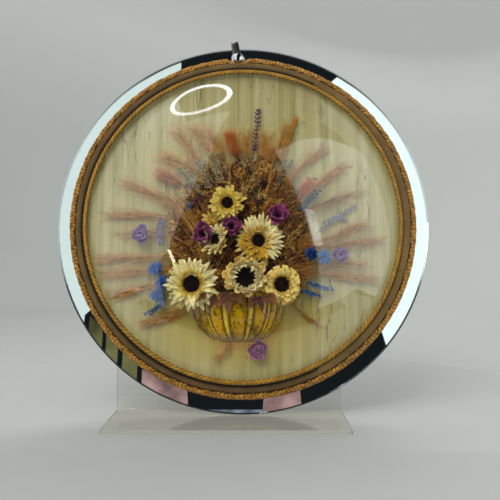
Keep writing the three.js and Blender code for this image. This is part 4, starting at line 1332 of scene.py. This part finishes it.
def wisps():
    """Longer straws, leaf blades and small sprigs that stand between the blooms."""
    sketch = Sketch()
    golds = [srgb(166, 118, 52), srgb(140, 90, 38), srgb(186, 142, 76), srgb(116, 66, 34)]
    count = 130
    a = np.radians(rng.uniform(-5, 185, count))
    reach = (60 + 44 * np.sin(a) ** 2) * rng.uniform(0.6, 1.05, count)
    way = np.stack([np.cos(a), np.sin(a)], -1)
    begin = np.column_stack([FAN_ROOT + way * reach[:, None] * 0.35, rng.uniform(12, 17, count)])
    end = np.column_stack([FAN_ROOT + way * reach[:, None], rng.uniform(8, 15, count)])
    middle = (begin + end) / 2 + rng.normal(0, 5, (count, 3)) * [1, 1, 0.3]
    colours = np.array(golds)[rng.integers(0, len(golds), count)]
    colours = colours * np.exp(rng.normal(0, 0.2, (count, 1)))
    widths = np.array([0.4, 0.6, 0.8, 1.0, 1.0, 0.9, 0.7, 0.4, 0.08]) * 0.5
    blades(sketch, bezier(begin, middle, end, 9), (0, 0, 1.0), widths, fade(colours * 0.8, colours * 1.15, 9),
           cup=0.5, thick=0.18)
    fans = [((-62, 19), (-92, 31), (-32, 0)), ((-66, 6), (-103, 6), (-34, -6)),
            ((-60, -8), (-98, -10), (-36, -18)), ((-71, -28), (-111, -30), (-42, -28)),
            ((-75, -39), (-108, -41), (-48, -38)), ((-72, -50), (-100, -57), (-48, -46)),
            ((57, 28), (78, 44), (34, 12)), ((60, 12), (92, 24), (36, 2)), ((67, -14), (95, -3), (46, -20)),
            ((72, -19), (106, -16), (48, -22)), ((64, -42), (100, -45), (44, -40)),
            ((60, -32), (92, -34), (44, -34)), ((-44, -68), (-70, -78), (-34, -62)),
            ((46, 44), (62, 58), (28, 24))]

    def scattered(many, at, spread, low, high):
        """Points scattered round a place, at heights from low to high."""
        return np.column_stack([rng.normal(at, spread, (many, 2)), rng.uniform(low, high, many)])

    for near, far, root in fans:
        begin = scattered(17, root, 2.5, 11, 15)
        middle = scattered(17, near, 3.4, 7.5, 10)
        end = scattered(17, far, 6.0, 6.6, 8.6)
        tubes(sketch, bezier(begin, middle, end, 9), np.linspace(0.2, 0.07, 9),
              shades(srgb(178, 120, 56), srgb(216, 164, 96), 17, 9, 0.2))
        beard = hairs(70, np.array([(*near, 8.0), (*far, 7.6)]), 8, 40, 12.0, flat=0.2, steps=3)
        tubes(sketch, beard, [0.09, 0.14, 0.03], shades(srgb(186, 130, 66), srgb(222, 172, 108), 70, 3, 0.2))
    begin = scattered(16, (-62, 18), 3.5, 9, 12)
    end = scattered(16, (-24, -34), 3.0, 19, 22)
    middle = scattered(16, (-38, 6), 3.0, 18, 22)
    tubes(sketch, bezier(begin, middle, end, 12), 0.24,
          shades(srgb(184, 128, 56), srgb(196, 146, 78), 16, 12, 0.2), sides=4)
    for start, middle, end, pairs, base, tip in (
        ((-46, 8), (-40, 14), (-34, 22), 8, srgb(40, 52, 92), srgb(88, 124, 166)),
        ((44, 8), (50, 14), (58, 24), 8, srgb(40, 52, 78), srgb(96, 120, 140)),
        ((-63, -20), (-68, -8), (-63, 2), 9, srgb(92, 80, 120), srgb(140, 130, 170)),
        ((-60, -64), (-66, -68), (-72, -72), 6, srgb(40, 56, 90), srgb(80, 116, 156)),
        ((50, -48), (58, -52), (66, -53), 7, srgb(36, 52, 96), srgb(84, 122, 172)),
        ((46, -54), (52, -57), (56, -58), 5, srgb(30, 50, 104), srgb(70, 116, 176)),
        ((-34, 20), (-40, 32), (-48, 42), 12, srgb(84, 70, 48), srgb(182, 168, 132)),
        ((-26, 24), (-30, 38), (-34, 48), 12, srgb(84, 70, 48), srgb(182, 168, 132)),
        ((-18, 28), (-20, 42), (-22, 54), 12, srgb(84, 70, 48), srgb(182, 168, 132)),
        ((26, 26), (32, 38), (36, 48), 12, srgb(70, 54, 34), srgb(150, 122, 84)),
        ((10, 26), (12, 38), (14, 52), 12, srgb(80, 52, 30), srgb(160, 118, 70)),
        ((36, 12), (44, 22), (54, 34), 10, srgb(74, 60, 38), srgb(150, 128, 92)),
    ):
        for shift in (-1.5, 1.5):
            begin = (start[0] + shift, start[1], 13)
            path = bezier(begin, (*middle, 13), (end[0] + shift * 1.6, end[1], 10), 20)[0]
            budded_sprig(sketch, path, pairs, 3.2, base, tip, 0.75, 0.26, srgb(84, 64, 44))
    plant("wisps", sketch, straw)


def foam_mesh():
    """The cut foam block, its faces crumbled and its corners worn."""
    low_u, high_u, low_v, high_v = -26.0, 20.0, -70.0, 16.0
    work = bmesh.new()
    bmesh.ops.create_cube(work, size=1.0)
    bmesh.ops.subdivide_edges(work, edges=work.edges, cuts=22, use_grid_fill=True)
    size = np.array([high_u - low_u, high_v - low_v, FOAM_TOP - PLANT_FLOOR])
    centre = np.array([(low_u + high_u) / 2, (low_v + high_v) / 2, PLANT_FLOOR + 5.5])
    for v in work.verts:
        p = np.array(v.co)
        corner = (np.abs(p) > 0.499).sum()
        p = p * (1 - 0.012 * (corner - 1)) * size + centre
        p += rng.normal(0, 0.16, 3)
        p[2] = max(p[2], PLANT_FLOOR - 0.1)
        v.co = Vector(p * MM)
    mesh = bpy.data.meshes.new("foam_core")
    work.to_mesh(mesh)
    work.free()
    return mesh


heather_mass("heather_right", -12, 62, 400)
heather_mass("heather_top", 62, 118, 430)
heather_mass("heather_left", 118, 192, 400)
wisps()
place("foam_core", foam_mesh(), foam, replaces=["foam_block"], crease=50)


# ---------------------------------------------------------------- amber half bowl
BOWL_U, BOWL_RIM_V = -3.4, -57.0
BOWL_RADIUS, BOWL_HEIGHT, BOWL_DEPTH = 37.0, 37.0, 24.0
BOWL_PANELS = 9


def bowl_mesh():
    """Half of a ribbed bowl, cut flat down its back, with a wall and a rounded rim."""
    outer = [(0.0, 0.0), (0.20, 0.0), (0.36, 0.006), (0.40, 0.035), (0.50, 0.05), (0.62, 0.105), (0.74, 0.20),
             (0.84, 0.32), (0.91, 0.45), (0.96, 0.60), (0.985, 0.75), (0.995, 0.88), (1.0, 0.965),
             (0.985, 0.995)]
    inner = [(0.955, 1.0), (0.925, 0.985), (0.918, 0.88), (0.905, 0.75), (0.88, 0.61), (0.835, 0.47),
             (0.765, 0.35), (0.67, 0.245), (0.55, 0.165), (0.40, 0.115), (0.2, 0.1), (0.0, 0.1)]
    outline = np.array(outer + inner)
    sides = 281
    angle = np.linspace(0, math.pi, sides)
    spaced = angle + 0.2 * np.sin(2 * angle)
    along = (BOWL_PANELS * spaced / math.pi + 0.14) % 1.0
    bead = np.sin(math.pi * np.clip(along / 0.28, 0, 1)) ** 0.8 * 0.9
    panel = np.sin(math.pi * np.clip((along - 0.28) / 0.72, 0, 1)) ** 0.6
    rib = np.maximum(bead, panel)
    gold, bright, brown = (np.array(srgb(*c)) for c in ((224, 180, 16), (255, 236, 96), (52, 32, 6)))
    # Painted shade: the grooves are painted dark brown.
    painted_groove_shade = np.clip(1 - rib / 0.62, 0, 1)[:, None] ** 0.6
    # Painted highlight: a bright line painted along each bead.
    painted_highlight_line = np.exp(-((along - 0.14) / 0.045) ** 2)[:, None]
    amber_and_painted_light = gold * (1 - painted_highlight_line) + bright * painted_highlight_line
    amber_and_painted_light = amber_and_painted_light * (1 - painted_groove_shade) + brown * painted_groove_shade
    # Painted shade: darker towards the bowl's left and right edges, where its side turns away.
    amber_and_painted_light = amber_and_painted_light * (0.25 + 0.75 * np.sin(angle)[:, None] ** 0.45)
    bowl_tone_and_painted_shade = np.empty((sides, len(outline), 3))
    points = np.empty((sides, len(outline), 3))
    for k, (r, y) in enumerate(outline):
        outside = k < len(outer)
        groove_depth = 1.9 * np.clip((y - 0.03) * 9, 0, 1) * np.clip((0.99 - y) * 14, 0, 1) * outside
        radius = r * BOWL_RADIUS - groove_depth * (1 - rib)
        # Painted shade: darker low down, and on the whole inner wall.
        bowl_tone_and_painted_shade[:, k] = amber_and_painted_light * (0.4 + 0.6 * np.clip((y - 0.02) * 5, 0, 1) if outside else 0.8)
        points[:, k, 0] = BOWL_U + np.cos(angle) * radius
        points[:, k, 1] = BOWL_RIM_V - BOWL_HEIGHT + y * BOWL_HEIGHT
        points[:, k, 2] = PLANT_FLOOR + 0.02 + np.sin(angle) * radius * BOWL_DEPTH / BOWL_RADIUS
    sketch = Sketch()
    faces = [grid_faces(sides, len(outline)), end_faces(sides, len(outline))]
    sketch.add(points, faces, bowl_tone_and_painted_shade.reshape(-1, 3))
    mesh = sketch.mesh("ribbed_bowl")
    tidy_mesh(mesh, weld=0.001)
    return mesh


place("ribbed_bowl", bowl_mesh(), amber, replaces=["amber_bowl"], crease=60)

# ---------------------------------------------------------------- stage, cards and lights
def studio_look(name, source_of, *stops):
    """Matt wall paper, coloured along a source."""
    look = Look(name)
    look.into("Base Color", look.ramp(source_of(look), *stops))
    look.roughness(look.noise(9, 3), 0.7, 0.8)
    return look.material


def sweep(name, profile, start, end, look):
    """Part of a round studio sweep: a floor that curves up into a wall."""
    angle = np.radians(np.linspace(start, end, 61))
    points = [[(r * math.cos(a), r * math.sin(a), z) for r, z in profile] for a in angle]
    sketch = Sketch()
    sketch.add(points, [grid_faces(61, len(profile))[:, [0, 3, 2, 1]]])
    mesh = sketch.mesh(name)
    made = add_object(name, mesh)
    mesh.shade_smooth()
    mesh.materials.append(look)
    return made


SWEEP_FLAT, SWEEP_BEND, SWEEP_WALL, FLOOR_RADIUS = 1000.0, 500.0, 2600.0, 330.0
floor_profile = [(0.0, 0.0), (100.0, 0.0), (200.0, 0.0), (FLOOR_RADIUS, 0.0)]
wall_profile = [(FLOOR_RADIUS, 0.0), (700.0, 0.0)] + arc((SWEEP_FLAT, SWEEP_BEND), SWEEP_BEND, -90, 0, 12)
wall_profile.append((SWEEP_FLAT + SWEEP_BEND, SWEEP_WALL))


def upward(look):
    """Grows upwards, and a little to the right."""
    return look.node("ShaderNodeVectorMath", {0: look.raw_place, 1: (0.1, 0, 0.4)},
                     operation="DOT_PRODUCT").outputs["Value"]


paper = studio_look("studio_paper", lambda look: look.noise(3, 3), (0.3, srgb(178, 181, 178)),
                    (0.7, srgb(181, 184, 181)))
# Painted light: the wall paper is painted lighter upwards, making up for the light that falls off higher on
# the wall.
wall_paper_painted_light = studio_look("studio_wall", upward, (0.0, srgb(180, 183, 180)), (0.2, srgb(196, 198, 196)),
                         (0.3, srgb(208, 210, 208)), (0.5, srgb(212, 214, 212)))
sweep("studio_floor", floor_profile, 0, 360, paper)
back_sweep = sweep("sweep_back", wall_profile, 0, 180, wall_paper_painted_light)
front_sweep = sweep("sweep_front", wall_profile, 180, 360, wall_paper_painted_light)
front_sweep.visible_glossy = False
front_sweep.visible_transmission = False
for part in (back_sweep, front_sweep):
    part.visible_shadow = False


def empty_tree(owner):
    """The cleared node tree of a material or a world."""
    owner.use_nodes = True
    owner.node_tree.nodes.clear()
    return owner.node_tree


def glow_look(name, colour, strength, far=None, mottled=None):
    """A glowing material. far is (distance from the middle where it starts, where it ends, strength there),
    and mottled is how fine its blotches are."""
    look = bpy.data.materials.new(name)
    tree = empty_tree(look)
    here = add_node(tree, "ShaderNodeTexCoord").outputs["Object"]
    if far:
        split = add_node(tree, "ShaderNodeSeparateXYZ", {0: here})
        source = add_node(tree, "ShaderNodeMath", {0: split.outputs["X"]}, operation="ABSOLUTE").outputs[0]
        steps = (far[0], far[1], strength, far[2])
    if mottled:
        blotches = {"Scale": mottled, "Detail": 3, "Vector": here}
        source = add_node(tree, "ShaderNodeTexNoise", blotches).outputs["Fac"]
        steps = (0.22, 0.72, 0.0, strength)
    if far or mottled:
        sockets = dict(zip(("From Min", "From Max", "To Min", "To Max"), steps))
        strength = add_node(tree, "ShaderNodeMapRange", {"Value": source, **sockets}).outputs[0]
    glow = add_node(tree, "ShaderNodeEmission", {"Color": colour, "Strength": strength})
    add_node(tree, "ShaderNodeOutputMaterial", {"Surface": glow.outputs[0]})
    return look


def glowing(name, points, look, faces=None):
    """A glowing stage piece that only reflections and glass see. The camera and the lighting don't."""
    mesh = bpy.data.meshes.new(name)
    mesh.from_pydata(points, [], faces or [list(range(len(points)))])
    mesh.materials.append(look)
    made = add_object(name, mesh)
    made.visible_camera = False
    made.visible_diffuse = False
    made.visible_shadow = False
    return made


CARD_Y = -0.115
CARD_X = 0.35


def card(name, corners, look, y=CARD_Y):
    """A glowing card in front of the disc. Corners are (x, z) in millimetres."""
    glowing(name, [(x * MM, y, z * MM) for x, z in corners], look)


def side_card(name, x, corners, look):
    """A glowing card beside the disc. Corners are (y, z) in millimetres."""
    glowing(name, [(x, y * MM, z * MM) for y, z in corners], look)


table = [(-0.25, -0.6, 0.001), (0.23, -0.6, 0.001), (0.23, -0.08, 0.001), (-0.25, -0.08, 0.001)]
glowing("dark_table", table, glow_look("dark_table", (0.6, 0.8, 1.0), 0.02))
PALE = (0.93, 1.0, 0.99)
left_glow = glow_look("left_glow", PALE, 0.9, (0.19, 0.26, 0.95))
right_glow = glow_look("right_glow", PALE, 1.2, (0.2, 0.26, 1.4))
card("panel_left", [(-350, 0), (-165, 0), (-160, 100), (-126, 130), (-109, 166), (-95, 208), (-82, 256),
                    (-62, 335), (-72, 372), (-72, 900), (-350, 900)], left_glow)
card("panel_right", [(350, 0), (350, 640), (238, 525), (144, 423), (103, 368), (66, 335), (81, 256),
                     (95, 208), (108, 166), (125, 128), (142, 63), (156, 25), (158, 0)], right_glow)
# Each side wall has a near and a far part, and the arch's edge runs between them.
left_arch = [(-20, 0), (-5, 300), (0, 347), (26, 418), (49, 506), (100, 613), (126, 703), (150, 900)]
side_card("wall_left", -CARD_X, [(-115, 0), *left_arch, (-115, 900)], left_glow)
side_card("wall_left_far", -CARD_X, [(-20, 0), (400, 0), (400, 900), *left_arch[:0:-1]],
          glow_look("left_far_glow", PALE, 0.55))
side_card("wall_right", CARD_X, [(-115, 0), (0, 0), (4, 309), (18, 362), (21, 424), (-19, 490), (-82, 598),
                                 (-115, 640)], right_glow)
side_card("wall_right_far", CARD_X, [(0, 0), (400, 0), (400, 560), (60, 470), (21, 424), (18, 362),
                                     (4, 309)], glow_look("right_far_glow", PALE, 0.7))
PINK = (0.72, 0.42, 0.40)
pink_left = glow_look("pink_left", PINK, 0.9, mottled=38)
pink_right = glow_look("pink_right", PINK, 0.8, mottled=45)
card("pink_card_left", [(-100, 0), (-53, 0), (-56, 30), (-100, 46)], pink_left)
card("pink_card_right", [(17, 0), (56, 0), (54, 28), (19, 22)], pink_right)
olive_glow = glow_look("olive", (0.30, 0.27, 0.11), 0.85, mottled=26)
for left, right in ((-155, -141), (-137, -125), (-120, -105)):
    corners = [(left, 36), (right, 36), (right, -right - 54), (left, -left - 56)]
    card(f"olive_card_{-left}", corners, olive_glow)
low_glow = glow_look("low", (0.55, 0.62, 0.75), 0.55, mottled=60)
card("low_strip", [(-110, 0), (112, 0), (112, 8), (-110, 8)], low_glow, CARD_Y - 0.001)
card("streak", [(103, 196), (124, 196), (141, 134), (118, 134)], glow_look("streak", (1, 1, 0.98), 3.4),
     CARD_Y + 0.001)
card("glint", [(-131, 127), (-124, 127), (-112, 106), (-118, 106)], glow_look("glint", (1, 0.92, 0.62), 14.0),
     CARD_Y + 0.001)


def ring_card(name, centre, facing, radii, colour, strength, sides=64):
    """A glowing ring, a little squashed, that only reflections see, at a place in metres."""
    squash = 0.82
    points = [(r * math.cos(TAU * k / sides), squash * r * math.sin(TAU * k / sides), 0)
              for r in radii for k in range(sides)]
    made = glowing(name, points, glow_look(name, colour, strength), ring_faces(2, sides).tolist())
    made.location = centre
    made.rotation_euler = (Vector(facing) - Vector(centre)).to_track_quat("Z", "Y").to_euler()


ring_card("ring_lamp", (-0.15, 0.051, 0.621), (-0.15, 0.051, 0), (0.096, 0.113), (0.95, 0.97, 1.1), 6.0)


def lamp(name, location, power):
    """A soft square lamp that lights the picture but isn't seen in it."""
    light = bpy.data.lights.new(name, "AREA")
    light.shape = "RECTANGLE"
    light.size = light.size_y = 0.9
    light.energy = power
    made = add_object(name, light)
    made.location = location
    made.rotation_euler = (Vector((0, 0, 0.12)) - Vector(location)).to_track_quat("-Z", "Y").to_euler()
    made.visible_camera = False
    made.visible_glossy = False
    made.visible_transmission = False


lamp("soft_key", (-0.5, -0.9, 1.1), 12)
lamp("soft_back", (0.5, 0.9, 1.2), 8)

# The world lights the scene softly, but reflections and glass see it nearly dark.
world = bpy.data.worlds.new("studio")
bpy.context.scene.world = world
tree = empty_tree(world)
rays = add_node(tree, "ShaderNodeLightPath").outputs
seen_in_glass = add_node(tree, "ShaderNodeMath", {0: rays["Is Glossy Ray"], 1: rays["Is Transmission Ray"]},
                         operation="MAXIMUM").outputs[0]
soft = add_node(tree, "ShaderNodeBackground", {"Color": (0.97, 0.99, 1.0), "Strength": 0.98}).outputs[0]
dark = add_node(tree, "ShaderNodeBackground", {"Color": (0.8, 0.95, 1.15), "Strength": 0.012}).outputs[0]
choose = add_node(tree, "ShaderNodeMixShader", {0: seen_in_glass, 1: soft, 2: dark})
add_node(tree, "ShaderNodeOutputWorld", {"Surface": choose.outputs[0]})
bpy.context.scene.view_settings.view_transform = "Standard"

# ---------------------------------------------------------------- camera, as in the photograph
camera_data = bpy.data.cameras.new("camera")
camera_data.sensor_width = 36
camera_data.lens = 43.2
camera_data.clip_start = 0.01
camera_data.clip_end = 20
camera = add_object("camera", camera_data)
camera.location = (0.00554, -0.4679, 0.12526)
camera.rotation_euler = (math.radians(90.72), 0, 0)
bpy.context.scene.camera = camera
